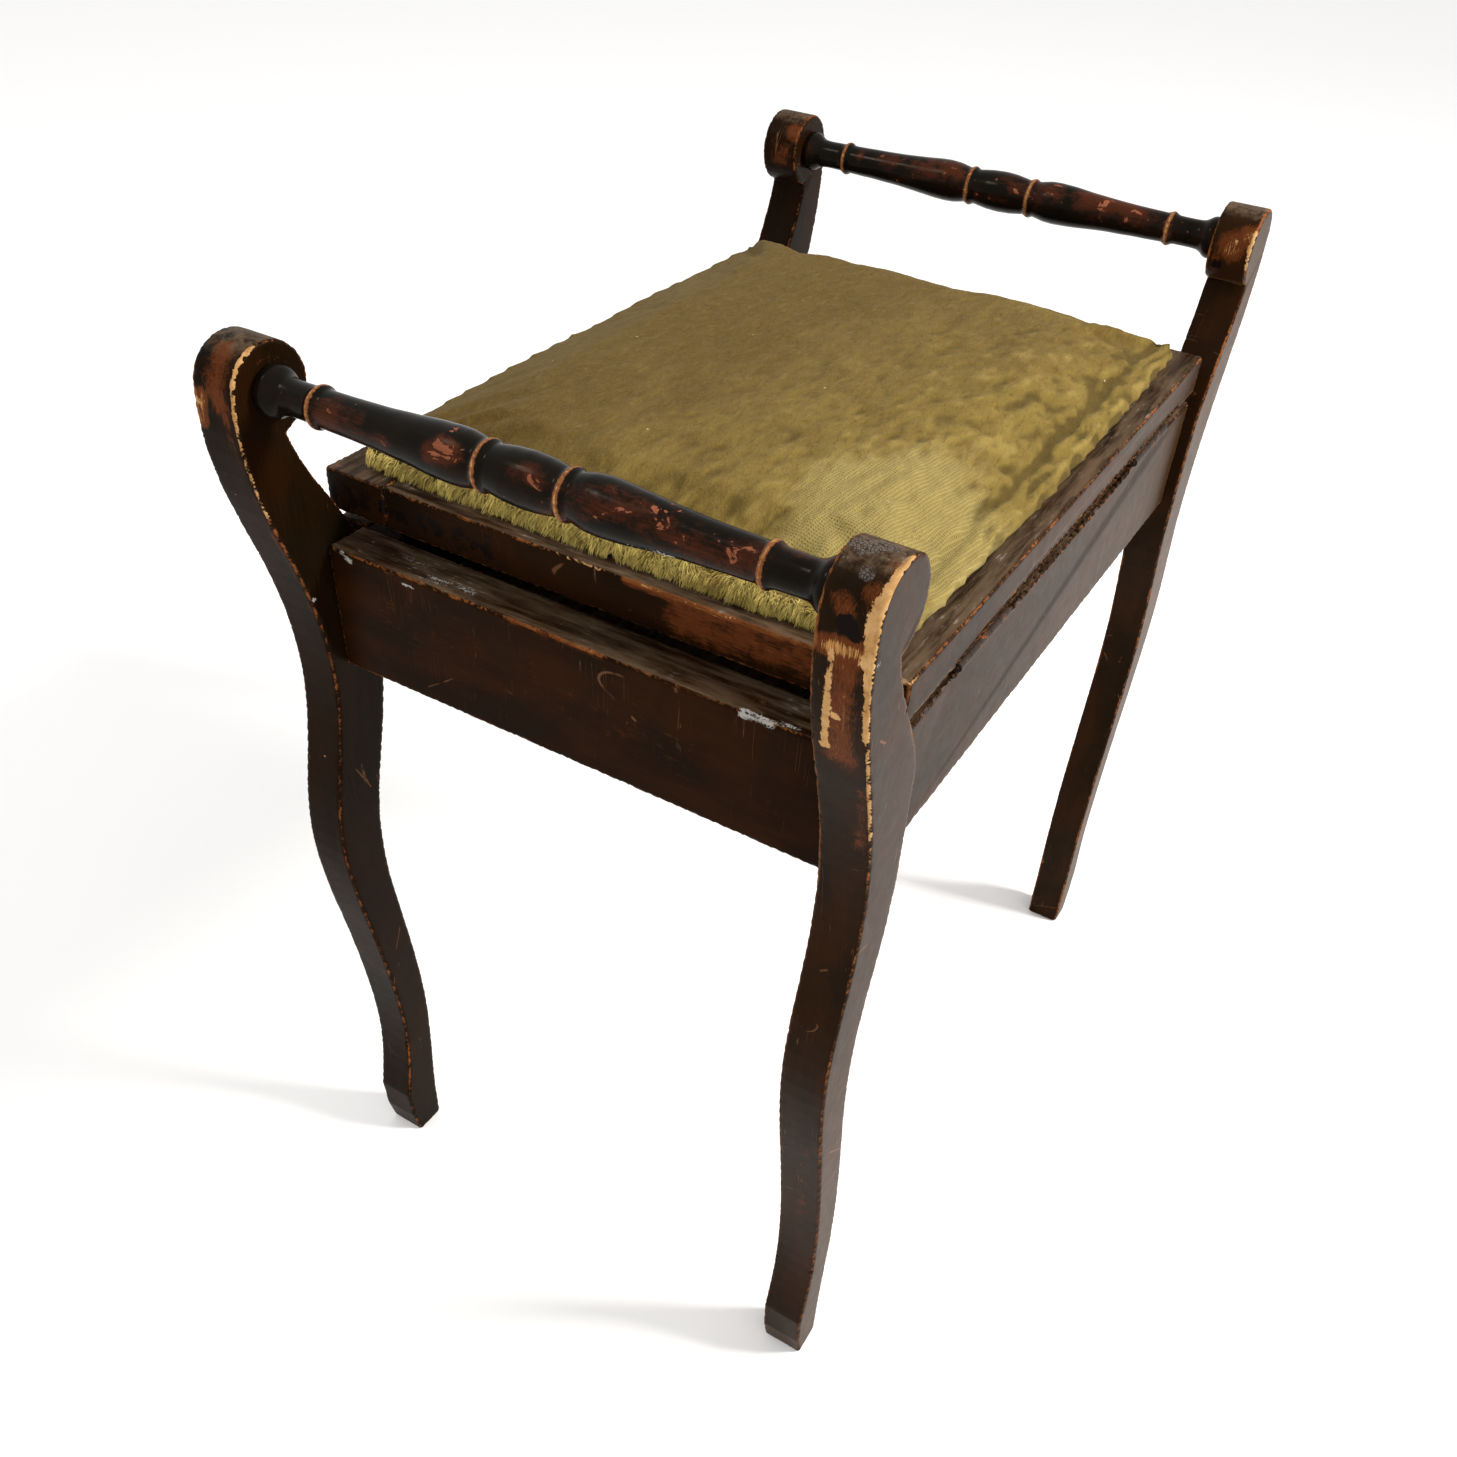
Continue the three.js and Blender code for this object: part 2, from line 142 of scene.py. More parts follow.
def make_floor():
    """A plain pale floor, wide enough to fill the view."""
    half = FLOOR_HALF
    mesh = bpy.data.meshes.new("floor")
    corners = [(-half, -half, 0), (half, -half, 0), (half, half, 0), (-half, half, 0)]
    mesh.from_pydata(corners, [], [(0, 1, 2, 3)])
    floor = linked("floor", mesh)
    paint = Paint("floor_paint")
    mottle = paint.noise(paint.coords(), 1 / 90, 3)
    paint.set("Base Color", paint.mix(mottle, FLOOR_DARK, FLOOR_LIGHT))
    paint.set("Roughness", 0.85)
    paint.set("Specular IOR Level", 0.1)
    mesh.materials.append(paint.material)


# ---------------------------------------------------------------- node materials


class Paint:
    """One node material on a Principled shader. Its coordinates are in millimetres."""

    def __init__(self, name):
        self.material = bpy.data.materials.new(name)
        self.material.use_nodes = True
        tree = self.material.node_tree
        self.nodes, self.links = tree.nodes, tree.links
        self.nodes.clear()
        self.shader = self.nodes.new("ShaderNodeBsdfPrincipled")
        output = self.nodes.new("ShaderNodeOutputMaterial")
        self.links.new(self.shader.outputs["BSDF"], output.inputs["Surface"])

    def plug(self, socket, value):
        """Links a socket's value or sets it."""
        if isinstance(value, bpy.types.NodeSocket):
            self.links.new(value, socket)
        elif isinstance(value, tuple) and len(value) == 3 and socket.type == "RGBA":
            socket.default_value = (*value, 1)
        else:
            socket.default_value = value

    def set(self, name, value):
        """Sets or links one input of the shader."""
        self.plug(self.shader.inputs[name], value)

    def node(self, kind, **inputs):
        """A new node with some inputs set or linked; _ stands for the space in an input's name."""
        made = self.nodes.new("ShaderNode" + kind)
        for name, value in inputs.items():
            self.plug(made.inputs[name.replace("_", " ")], value)
        return made

    def coords(self, scale=(1, 1, 1), turn=(0, 0, 0)):
        """Points of the piece in millimetres, turned and then scaled."""
        mapping = self.node("Mapping", Vector=self.node("TexCoord").outputs["Object"])
        mapping.vector_type = "POINT"
        mapping.inputs["Rotation"].default_value = [math.radians(v) for v in turn]
        mapping.inputs["Scale"].default_value = [1000 * v for v in scale]
        return mapping.outputs["Vector"]

    def noise(self, vector, scale, detail=4.0, rough=0.55, distortion=0.0):
        """Smooth noise from 0 to 1 whose features are about 1/scale long."""
        return self.node("TexNoise", Vector=vector, Scale=scale, Detail=detail, Roughness=rough,
                         Distortion=distortion).outputs["Fac"]

    def cells(self, vector, scale, feature="F1", output="Distance"):
        """Scattered cells, whose distance output is in cell widths."""
        node = self.node("TexVoronoi", Vector=vector, Scale=scale)
        node.feature = feature
        return node.outputs[output]

    def math(self, kind, *values):
        """Arithmetic on two or more values, from left to right."""
        total = values[0]
        for value in values[1:]:
            node = self.node("Math")
            node.operation = kind
            self.plug(node.inputs[0], total)
            self.plug(node.inputs[1], value)
            total = node.outputs[0]
        return total

    def add(self, *values):
        """The sum of several values."""
        return self.math("ADD", *values)

    def times(self, *values):
        """The product of several values."""
        return self.math("MULTIPLY", *values)

    def most(self, *values):
        """The greatest of several values."""
        return self.math("MAXIMUM", *values)

    def around(self, value, size):
        """A noise of 0 to 1 turned to one of -size/2 to size/2."""
        return self.times(self.math("SUBTRACT", value, 0.5), size)

    def step(self, value, low, high, start=0.0, end=1.0):
        """A smooth step from start at low to end at high."""
        node = self.node("MapRange", Value=value, From_Min=low, From_Max=high, To_Min=start, To_Max=end)
        node.interpolation_type = "SMOOTHSTEP"
        return node.outputs["Result"]

    def attribute(self, name):
        """A number kept on the mesh."""
        node = self.node("Attribute")
        node.attribute_name = name
        return node.outputs["Fac"]

    def mix(self, factor, a, b):
        """Colour a at 0 and b at 1."""
        node = self.node("Mix")
        node.data_type = "RGBA"
        for name, value in (("Factor", factor), ("A", a), ("B", b)):
            self.plug(node.inputs[name], value)
        return node.outputs["Result"]

    def bump(self, height, distance, **inputs):
        """A bumped normal from a height of 0 to 1 that stands for distance millimetres."""
        node = self.node("Bump", Height=height, Strength=1.0, Distance=distance * MM, **inputs)
        return node.outputs["Normal"]


def grain_scale(axis, along, across):
    """Coordinate scales that stretch a pattern along one axis."""
    return tuple(1 / along if i == axis else 1 / across for i in range(3))


# Colours of the lacquer and of the wood under it
LACQUER, LACQUER_WARM = (0.0095, 0.0045, 0.0016), (0.021, 0.0072, 0.0021)
LACQUER_COLD, LACQUER_STREAK = (0.0062, 0.0042, 0.0022), (0.042, 0.0135, 0.0038)
DEEP_RED, RED_BROWN = (0.04, 0.0095, 0.004), (0.145, 0.04, 0.01)
DARK_AMBER, AMBER = (0.08, 0.021, 0.006), (0.3, 0.1, 0.026)
DARK_ORANGE, ORANGE = (0.25, 0.08, 0.018), (0.62, 0.34, 0.11)
DARK_TAN, TAN = (0.36, 0.19, 0.07), (0.6, 0.37, 0.16)
RAW_DARK, RAW_LIGHT = (0.2, 0.085, 0.025), (0.5, 0.28, 0.1)
NICK_DARK, NICK_LIGHT = (0.2, 0.075, 0.03), (0.5, 0.33, 0.2)
SCRATCH, BURN = (0.17, 0.075, 0.035), (0.0055, 0.0035, 0.003)
DUST, PALE_SCUFF, SMEAR = (0.12, 0.078, 0.046), (0.26, 0.235, 0.21), (0.5, 0.48, 0.45)
CRACK, CRAZED = (0.018, 0.012, 0.009), (0.1, 0.085, 0.075)
GLOSS_TINT, SHEEN_TINT = (1.0, 0.82, 0.62), (1.0, 0.5, 0.2)


class Lacquer(Paint):
    """Old dark lacquer on wood whose grain runs along axis, worn through where the mesh says."""

    def __init__(self, name, axis, wear):
        super().__init__(name)
        self.axis, self.wear = axis, wear
        self.fine = self.grain(26, 0.9, 5, 0.6, 0.4)
        self.fibre = self.grain(7, 0.45, 3, 0.65, 0.3)
        self.broad = self.grain(90, 22, 3, 0.5, 0.3)
        self.scuff = self.grain(11, 1.6, 4, 0.65)
        self.patch = self.noise(self.coords(), 1 / 42, 3, 0.55, 0.6)
        self.ragged = self.noise(self.coords(), 1 / 7.5, 4, 0.6, 0.5)
        self.chips = self.noise(self.coords(), 1 / 1.9, 3, 0.6)

    def grain(self, along, across, *settings):
        """Noise stretched along the grain; its lengths are in millimetres."""
        return self.noise(self.coords(grain_scale(self.axis, along, across)), 1.0, *settings)

    def frayed(self, name, ragged, chips, *more):
        """A mark kept on the mesh, with its outline broken up by noise."""
        return self.add(self.attribute(name), self.around(self.ragged, ragged),
                        self.around(self.chips, chips), *more)

    def worn_line(self):
        """The thin worn line along each arris, and the paler core where it is widest."""
        distance = self.frayed("edge", 1.5, 0.9, self.around(self.fine, 0.8))
        reach = self.add(0.1 + 0.2 * self.wear, self.around(self.patch, 2.2 * self.wear),
                         self.around(self.fibre, 1.0), self.times(self.attribute("rub"), 1.6))
        bare = self.step(distance, self.add(reach, 0.5), self.add(reach, -0.2))
        core = self.step(distance, self.add(reach, -0.75), self.add(reach, -1.3))
        core = self.most(core, self.times(bare, self.step(self.attribute("raw"), 0.2, 0.5)))
        return bare, core

    def thinning(self):
        """Where faces are rubbed thin: first to red-brown, then to orange."""
        thin = self.frayed("rub", 0.7, 0.0, self.around(self.fine, 0.5), self.around(self.fibre, 0.45))
        orange = self.step(self.add(thin, self.around(self.fibre, 0.8)), 0.82, 1.1)
        return self.step(thin, 0.28, 0.62), orange

    def nicks(self):
        """Small chips in a few scattered cells."""
        cell = self.coords((1 / 21, 1 / 21, 1 / 21))
        radius = self.times(self.cells(cell, 1.0, output="Color"), 0.042)
        distance = self.add(self.cells(cell, 1.0), self.around(self.chips, 0.06))
        chance = self.step(self.noise(self.coords(), 1 / 33, 2), 0.48, 0.58)
        return self.times(self.step(distance, radius, self.times(radius, 0.6)), chance)

    def hairline(self, scale, turn, low, high):
        """Thin lines where a stretched noise passes its middle."""
        lines = self.noise(self.coords(scale, turn), 1.0, 0.6, 0.4)
        return self.step(self.math("ABSOLUTE", self.add(lines, -0.5), 0.0), low, high)

    def scratches(self):
        """Hair-thin scratches, two ways, in a few places."""
        hair = self.hairline((1 / 60, 1 / 4, 1 / 110), (23, 41, 37), 0.005, 0.002)
        across = self.hairline((1 / 4, 1 / 100, 1 / 60), (-31, 17, 12), 0.004, 0.0015)
        sparse = self.step(self.noise(self.coords(), 1 / 24, 2, 0.5, 1.0), 0.57, 0.66)
        return self.times(self.most(hair, across), sparse)

    def sound(self, tone, warm):
        """The colour of the lacquer where it is whole."""
        colour = self.mix(self.step(self.broad, 0.32, 0.68), tone, warm)
        colour = self.mix(self.step(self.patch, 0.42, 0.72, 0.0, 0.6), colour, LACQUER_COLD)
        return self.mix(self.times(self.step(self.fine, 0.5, 0.8), 0.28), colour, LACQUER_STREAK)

    def bare_wood(self):
        """The colour of wood with no lacquer left."""
        stained = self.mix(self.chips, RAW_DARK, RAW_LIGHT)
        return self.mix(self.step(self.ragged, 0.35, 0.65), stained, self.mix(self.fibre, DARK_TAN, TAN))

    def dust(self, colour):
        """Dust and pale scuffs on what faces up: the new colour and how dusty it is."""
        up = self.step(self.attribute("up"), 0.75, 0.97)
        swept = self.add(self.times(self.grain(45, 5, 4, 0.6, 0.4), 0.65), self.times(self.scuff, 0.2),
                         self.times(self.patch, 0.15))
        dusty = self.times(up, self.step(swept, 0.36, 0.64))
        colour = self.mix(self.times(dusty, 0.75), colour, DUST)
        scuffed = self.times(up, self.step(self.patch, 0.5, 0.66), self.step(self.scuff, 0.58, 0.66))
        return self.mix(self.times(scuffed, 0.6), colour, PALE_SCUFF), dusty


def lacquered(name, axis, tone=LACQUER, warm=LACQUER_WARM, wear=0.7, gloss=0.36, sheen=0.2, ior=1.115):
    """The material of one kind of lacquered piece."""
    p = Lacquer(name, axis, wear)
    bare, core = p.worn_line()
    thinned, orange = p.thinning()
    raw = p.step(p.frayed("raw", 0.8, 0.7, p.around(p.fibre, 0.45)), 0.48, 0.58)
    burnt = p.step(p.frayed("dark", 0.8, 0.3), 0.5, 0.6)
    nick, scratch = p.nicks(), p.scratches()
    # From the lacquer down to bare wood
    colour = p.mix(thinned, p.sound(tone, warm), p.mix(p.fibre, DEEP_RED, RED_BROWN))
    colour = p.mix(p.times(scratch, 0.55), colour, SCRATCH)
    colour = p.mix(p.times(orange, 0.9), colour, p.mix(p.fibre, DARK_ORANGE, ORANGE))
    line = p.times(bare, p.step(p.patch, 0.3, 0.6, 0.45, 1.0))
    colour = p.mix(line, colour, p.mix(p.fibre, DARK_AMBER, AMBER))
    colour = p.mix(core, colour, p.mix(p.fibre, DARK_TAN, TAN))
    colour = p.mix(raw, colour, p.bare_wood())
    colour = p.mix(burnt, colour, BURN)
    colour = p.mix(nick, colour, p.mix(p.ragged, NICK_DARK, NICK_LIGHT))
    # Dust, crazed grey varnish and pale smears of paint
    colour, dusty = p.dust(colour)
    craze = p.step(p.frayed("craze", 0.7, 0.3), 0.45, 0.6)
    cracks = p.step(p.cells(p.coords(), 1 / 1.5, "DISTANCE_TO_EDGE"), 0.03, 0.13)
    colour = p.mix(p.times(craze, 0.85), colour, p.mix(cracks, CRACK, CRAZED))
    grit = p.noise(p.coords(), 1 / 0.9, 3, 0.7)
    smeared = p.step(p.frayed("daub", 0.6, 0.0, p.around(grit, 1.1), p.around(p.scuff, 1.3)), 0.56, 0.8)
    p.set("Base Color", p.mix(p.times(smeared, 0.7), colour, SMEAR))
    worn = p.most(bare, raw, orange, smeared)
    rough = p.add(gloss, p.around(p.ragged, 0.16), p.around(p.fine, 0.1), p.times(worn, 0.25),
                  p.times(dusty, 0.22), p.times(craze, 0.25), p.times(burnt, -0.12))
    p.set("Roughness", p.math("MINIMUM", rough, 0.9))
    p.set("IOR", ior)
    p.set("Specular Tint", GLOSS_TINT)
    p.set("Sheen Weight", sheen)
    p.set("Sheen Roughness", 0.22)
    p.set("Sheen Tint", SHEEN_TINT)
    height = p.add(p.times(p.fine, 0.22), p.times(worn, -0.6), p.times(scratch, -0.35),
                   p.times(nick, -0.5), p.times(cracks, craze, 0.5), p.times(p.ragged, 0.3),
                   p.times(p.fibre, worn, 0.4))
    p.set("Normal", p.bump(height, 0.2))
    return p.material


# Colours of the handles' finish
EBONY, EBONY_WARM = (0.0042, 0.0034, 0.0024), (0.011, 0.005, 0.003)
THIN_DARK, THIN_LIGHT = (0.024, 0.0065, 0.003), (0.085, 0.021, 0.008)
CHIP_DARK, CHIP_LIGHT = (0.13, 0.034, 0.016), (0.3, 0.105, 0.05)
RING_DARK, RING_LIGHT = (0.1, 0.028, 0.012), (0.27, 0.1, 0.032)
BEAD_DARK, BEAD_LIGHT = (0.3, 0.15, 0.05), (0.52, 0.31, 0.12)
HANDLE_SMEAR, HANDLE_TINT = (0.5, 0.48, 0.44), (1.0, 0.86, 0.7)


def ebonised():
    """Near-black gloss on turned wood, red-brown where it is thin, chipped and worn on its beads."""
    p = Paint("ebonised_gloss")
    ragged = p.noise(p.coords((1, 0.7, 1)), 1 / 7.5, 4, 0.6, 0.7)
    broad = p.noise(p.coords((1, 0.6, 1)), 1 / 24, 3, 0.5, 0.5)
    chips = p.noise(p.coords(), 1 / 1.5, 3, 0.6)
    fine = p.noise(p.coords(grain_scale(1, 16, 0.8)), 1.0, 4, 0.6)
    crest, rub = p.attribute("crest"), p.attribute("rub")
    wear = p.add(crest, p.around(ragged, 0.55), p.around(chips, 0.55), p.around(broad, 0.3))
    ring = p.step(wear, 0.5, 0.72)
    bare = p.step(wear, 0.88, 1.1)
    chip = p.step(p.add(ragged, p.around(chips, 0.14), p.around(broad, 0.2), p.times(rub, 0.09)),
                  0.69, 0.71)
    thin = p.step(p.add(broad, p.times(rub, 0.26), p.around(ragged, 0.5), p.around(chips, 0.2),
                        p.around(fine, 0.2)), 0.56, 0.8)
    colour = p.mix(p.step(broad, 0.42, 0.7), EBONY, EBONY_WARM)
    colour = p.mix(p.times(thin, 0.8), colour, p.mix(fine, THIN_DARK, THIN_LIGHT))
    colour = p.mix(chip, colour, p.mix(fine, CHIP_DARK, CHIP_LIGHT))
    colour = p.mix(ring, colour, p.mix(chips, RING_DARK, RING_LIGHT))
    colour = p.mix(bare, colour, p.mix(chips, BEAD_DARK, BEAD_LIGHT))
    smeared = p.step(p.add(p.attribute("daub"), p.around(chips, 1.3), p.around(ragged, 0.8)), 0.66, 0.8)
    p.set("Base Color", p.mix(smeared, colour, HANDLE_SMEAR))
    worn = p.most(ring, chip, smeared)
    p.set("Roughness", p.add(0.2, p.times(worn, 0.3), p.times(thin, 0.08), p.around(ragged, 0.12)))
    p.set("IOR", 1.15)
    p.set("Specular Tint", HANDLE_TINT)
    p.set("Normal", p.bump(p.add(p.times(worn, -0.5), p.times(ragged, 0.5), p.times(fine, 0.1)), 0.2))
    return p.material


def unfinished(name, axis, dark, light, rough=0.68, ior=1.4):
    """Bare or thinly stained wood inside the box."""
    p = Paint(name)
    fine = p.noise(p.coords(grain_scale(axis, 30, 0.8)), 1.0, 5, 0.65, 0.5)
    band = p.noise(p.coords(grain_scale(axis, 130, 9)), 1.0, 3, 0.5, 1.2)
    stain = p.noise(p.coords(), 1 / 55, 4, 0.6, 0.8)
    colour = p.mix(p.step(p.add(p.times(fine, 0.6), p.times(band, 0.5)), 0.35, 0.78), dark, light)
    colour = p.mix(p.step(stain, 0.52, 0.75, 0.0, 0.45), colour, tuple(0.45 * c for c in dark))
    p.set("Base Color", colour)
    p.set("Roughness", p.add(rough, p.around(fine, 0.2)))
    p.set("IOR", ior)
    p.set("Normal", p.bump(fine, 0.12))
    return p.material


IRON_PAINT_DARK, IRON_PAINT_LIGHT = (0.012, 0.0075, 0.005), (0.036, 0.022, 0.014)
RUST_DARK, RUST_LIGHT = (0.085, 0.028, 0.012), (0.33, 0.095, 0.028)
STEEL, STEEL_BROWN = (0.3, 0.28, 0.25), (0.14, 0.06, 0.03)


def painted_iron():
    """Iron hinge under brown paint, rusty where it rubs."""
    p = Paint("painted_iron")
    ragged = p.noise(p.coords(), 1 / 5, 4, 0.6, 0.6)
    chips = p.noise(p.coords(), 1 / 1.2, 3, 0.6)
    lost = p.step(p.add(ragged, p.around(chips, 0.25)), 0.58, 0.66)
    paint = p.mix(ragged, IRON_PAINT_DARK, IRON_PAINT_LIGHT)
    p.set("Base Color", p.mix(lost, paint, p.mix(chips, RUST_DARK, RUST_LIGHT)))
    p.set("Metallic", p.times(lost, 0.35))
    p.set("Roughness", p.add(0.5, p.times(lost, 0.25), p.around(chips, 0.15)))
    p.set("IOR", 1.2)
    p.set("Normal", p.bump(p.add(p.times(lost, -0.5), p.times(chips, 0.4)), 0.12))
    return p.material


def old_steel():
    """Dull steel of the screws and pins, browned in places."""
    p = Paint("old_steel")
    ragged = p.noise(p.coords(), 1 / 2.4, 4, 0.6, 0.4)
    fine = p.noise(p.coords((1, 1, 3)), 2.0, 3, 0.6)
    brown = p.step(p.add(ragged, p.around(fine, 0.2)), 0.48, 0.62)
    p.set("Base Color", p.mix(brown, STEEL, STEEL_BROWN))
    p.set("Metallic", p.step(brown, 0.0, 1.0, 0.95, 0.3))
    p.set("Roughness", p.add(0.38, p.times(brown, 0.3), p.around(fine, 0.15)))
    p.set("Normal", p.bump(p.add(p.times(fine, 0.4), p.times(brown, 0.4)), 0.06))
    return p.material


# ---------------------------------------------------------------- marks of wear, in millimetres

# Each mark is (one end, other end, radius, strength); a round one has both ends the same


def spot(x, y, z, radius, strength=1.0):
    """A round mark."""
    return ((x, y, z), (x, y, z), radius, strength)


def trail(places, radius, strength=1.0):
    """A run of joined straight marks through several places."""
    return [(a, b, radius, strength) for a, b in zip(places, places[1:])]


def seat_arc(x, y, z, radius, start, end, steps=8):
    """A scuffed arc round a handle's collar; angles in degrees from +X towards +Z."""
    angles = [math.radians(start + (end - start) * i / steps) for i in range(steps + 1)]
    return trail([(x + radius * math.cos(a), y, z + radius * math.sin(a)) for a in angles], 0.9, 0.8)


# Where the lacquer is rubbed thin
RUBS = [
    spot(271, 154, 569, 7, 0.6), ((272.5, 150, 553), (272.5, 163, 554), 5.5, 1.05),
    ((271, 157, 546), (263, 157, 500), 9, 0.68), spot(266, 165, 573, 7, 0.7), spot(256, 166, 583, 8, 0.55),
    ((258, 165, 480), (247, 164, 440), 5, 0.4),
    ((262, -156, 580), (271, -154, 562), 9, 0.62), ((272, -164, 561), (272, -166, 551), 5, 0.95),
    ((271, -150, 556), (268, -149, 530), 4, 0.6), ((268, -148, 515), (240, -146, 420), 3, 0.35),
    spot(-229, 157, 566, 10, 0.92), spot(-230, 165, 572, 8, 0.9),
    ((-228, 150, 560), (-230, 150, 545), 5, 0.5),
    spot(-229, -154, 562, 12, 0.5), spot(-233, -148, 576, 8, 0.62), spot(-247, -150, 584, 9, 0.4),
    ((212, 50, 494), (212, 112, 497), 13, 0.58), spot(212, 150, 500, 9, 0.75),
    ((212, 20, 503), (212, 100, 503), 3, 0.7),
    ((234, -110, 450), (234, 60, 440), 26, 0.24), ((235, -30, 476), (235, 20, 476), 4, 0.5),
    ((250, -166, 250), (243, -160, 170), 7, 0.3), ((250, 160, 240), (243, 158, 150), 8, 0.32),
]
# Where raw wood shows
RAWS = [
    *trail([(252, 170.5, 584), (260, 170.5, 582), (266, 170, 577), (269, 169.5, 573)], 4.6, 1.15),
    *trail([(269, 168.8, 573), (272, 168.6, 563), (272.8, 168.8, 552)], 5.8, 1.1),
    *trail([(272.8, 169, 552), (271.6, 169.4, 535), (268, 169.6, 514)], 3.6, 1.05),
    *trail([(268, 169.8, 514), (262, 169.8, 494), (257, 169.8, 476), (249, 169.8, 450)], 2.0, 1.0),
    *trail([(249, 169.8, 450), (243, 169.8, 420), (241, 169.8, 390)], 1.3, 0.8),
    *trail([(271.8, 152, 550), (270, 151.4, 525), (265.5, 150.2, 506)], 2.3, 0.92),
    spot(265, 150, 503, 3.0, 1.0), spot(270, 155.6, 521, 2.2, 0.95), spot(268, 155, 509, 1.6, 0.8),
    *trail([(256, -144.5, 583), (264, -144.5, 579), (270, -144.5, 570), (272.6, -144.5, 555)], 1.9, 0.85),
    *trail([(272.6, -144.5, 555), (271, -144.5, 532), (265, -144.5, 505)], 1.3, 0.75),
    spot(272.4, -166, 559, 2.2, 0.75), spot(-228.5, 168, 566, 3, 0.85), spot(-229, 158, 569, 2.4, 0.7),
    *trail([(-232, 168.5, 575), (-228, 168.5, 563), (-229, 168.5, 552)], 1.6, 0.8),
    ((211, 159, 504), (211, 150, 504), 1.6, 0.68), ((212, -20, 504), (212, 6, 504), 1.0, 0.62),
    ((211, 161, 504), (205, 161.5, 504), 1.2, 0.68),
]
# Dark stains and burns, pale smears of paint, crazed varnish, and arcs round the handles' collars
DARKS = [spot(272, 156, 563, 5.4, 1.05), spot(272, 160, 560, 4, 0.95),
         spot(251, -162, 584, 8, 0.9), spot(263, -165, 579, 6, 0.75), spot(-229, 151, 553, 6, 0.8),
         ((212, -160, 493), (212, -60, 493), 14, 0.55)]
DAUBS = [((234, 96, 475), (234, 110, 475.5), 3.4, 0.85), ((233, 110, 476), (231, 122, 476), 2.6, 0.66),
         ((234, -135, 475), (234, -129, 472), 2.4, 0.75), ((234, -96, 471.5), (234, -89, 471), 1.2, 0.8),
         ((229, -86, 476), (226, -58, 476), 4.5, 0.6), ((218, -128, 476), (222, -70, 476), 7, 0.42),
         spot(248, -144, 452, 1.7, 1.1),
         spot(268, 168.6, 549, 2.6, 0.72), spot(-231, 165, 520, 1.4, 1.0), spot(-232, 160, 535, 1.5, 0.9),
         ((258, 42, 556), (257, 75, 555), 2.8, 0.72), spot(259, 40, 558, 3.4, 0.8)]
CRAZES = [((252, 150, 584.5), (247, 158, 584.5), 6.5, 0.95), spot(262, 157, 580, 4.5, 0.75)]
SCUFFED_SEATS = [*seat_arc(250, -144, 562, 14.6, 60, 200), *seat_arc(250, 144, 562, 14.4, 100, 190),
                 *seat_arc(-250, 144, 562, 14.4, 20, 100)]
MARK_FADE = 1.7  # where a mark has faded out, in radii


def mark_strength(points, marks):
    """How strongly each point is marked; points are in metres."""
    strength = np.zeros(len(points))
    spots = points / MM
    for start, end, radius, most in marks:
        start, end = np.array(start, float), np.array(end, float)
        span = end - start
        length = max(float(span @ span), 1e-9)
        along = np.clip((spots - start) @ span / length, 0, 1)
        far = np.linalg.norm(spots - start - along[:, None] * span, axis=1)
        near = np.clip(1 - far / (MARK_FADE * radius), 0, 1)
        strength = np.maximum(strength, most * near * near * (3 - 2 * near))
    return strength


def keep_number(mesh, name, values):
    """Stores one number for each vertex."""
    mesh.attributes.new(name, "FLOAT", "POINT").data.foreach_set(
        "value", np.asarray(values, np.float32))


# ---------------------------------------------------------------- mesh helpers


def numbers(items, name, width, kind=np.float32):
    """One property of all vertices or edges as an array."""
    flat = np.empty(len(items) * width, kind)
    items.foreach_get(name, flat)
    return flat.reshape(-1, width)


def points_of(mesh):
    """Where the vertices are."""
    return numbers(mesh.vertices, "co", 3).astype(float)


def normals_of(mesh):
    """The vertex normals."""
    return numbers(mesh.vertices, "normal", 3).astype(float)


def put_points(mesh, points):
    """Moves the vertices."""
    mesh.vertices.foreach_set("co", np.asarray(points, np.float32).ravel())
    mesh.update()


def relaxed(mesh, rounds):
    """The vertices, each drawn half way to the mean of its neighbours, several times."""
    points = points_of(mesh)
    pairs = numbers(mesh.edges, "vertices", 2, np.int32)
    count = np.zeros(len(points))
    np.add.at(count, pairs.ravel(), 1)
    count = np.maximum(count, 1)[:, None]
    for _ in range(rounds):
        total = np.zeros_like(points)
        for axis in range(points.shape[1]):
            total[:, axis] = (
                np.bincount(pairs[:, 0], points[pairs[:, 1], axis], len(points))
                + np.bincount(pairs[:, 1], points[pairs[:, 0], axis], len(points)))
        points = points + 0.5 * (total / count - points)
    return points


def welded(node):
    """The CAD mesh of a node as a bmesh without doubled vertices."""
    bm = bmesh.new()
    bm.from_mesh(NODES[node].data)
    bmesh.ops.remove_doubles(bm, verts=bm.verts, dist=1e-5)
    return bm


def applied(piece):
    """Gives the piece the mesh that its modifiers make."""
    graph = bpy.context.evaluated_depsgraph_get()
    mesh = bpy.data.meshes.new_from_object(piece.evaluated_get(graph), depsgraph=graph)
    piece.modifiers.clear()
    old = piece.data
    piece.data = mesh
    bpy.data.meshes.remove(old)
    return mesh


GRID_TURN = Euler((0.35, 0.6, 0.25)).to_matrix()  # keeps the voxel grid off every arris


def remeshed(name, bm, voxel):
    """A new linked object: an even, closed mesh of what bm holds."""
    bmesh.ops.transform(bm, matrix=GRID_TURN.to_4x4(), verts=bm.verts)
    coarse = bpy.data.meshes.new(name)
    bm.to_mesh(coarse)
    piece = linked(name, coarse)
    modifier = piece.modifiers.new("remesh", "REMESH")
    modifier.mode = "VOXEL"
    modifier.voxel_size = voxel
    fine = applied(piece)
    fine.name = name
    fine.transform(GRID_TURN.transposed().to_4x4())
    fine.materials.clear()
    fine.polygons.foreach_set("use_smooth", [True] * len(fine.polygons))
    return piece


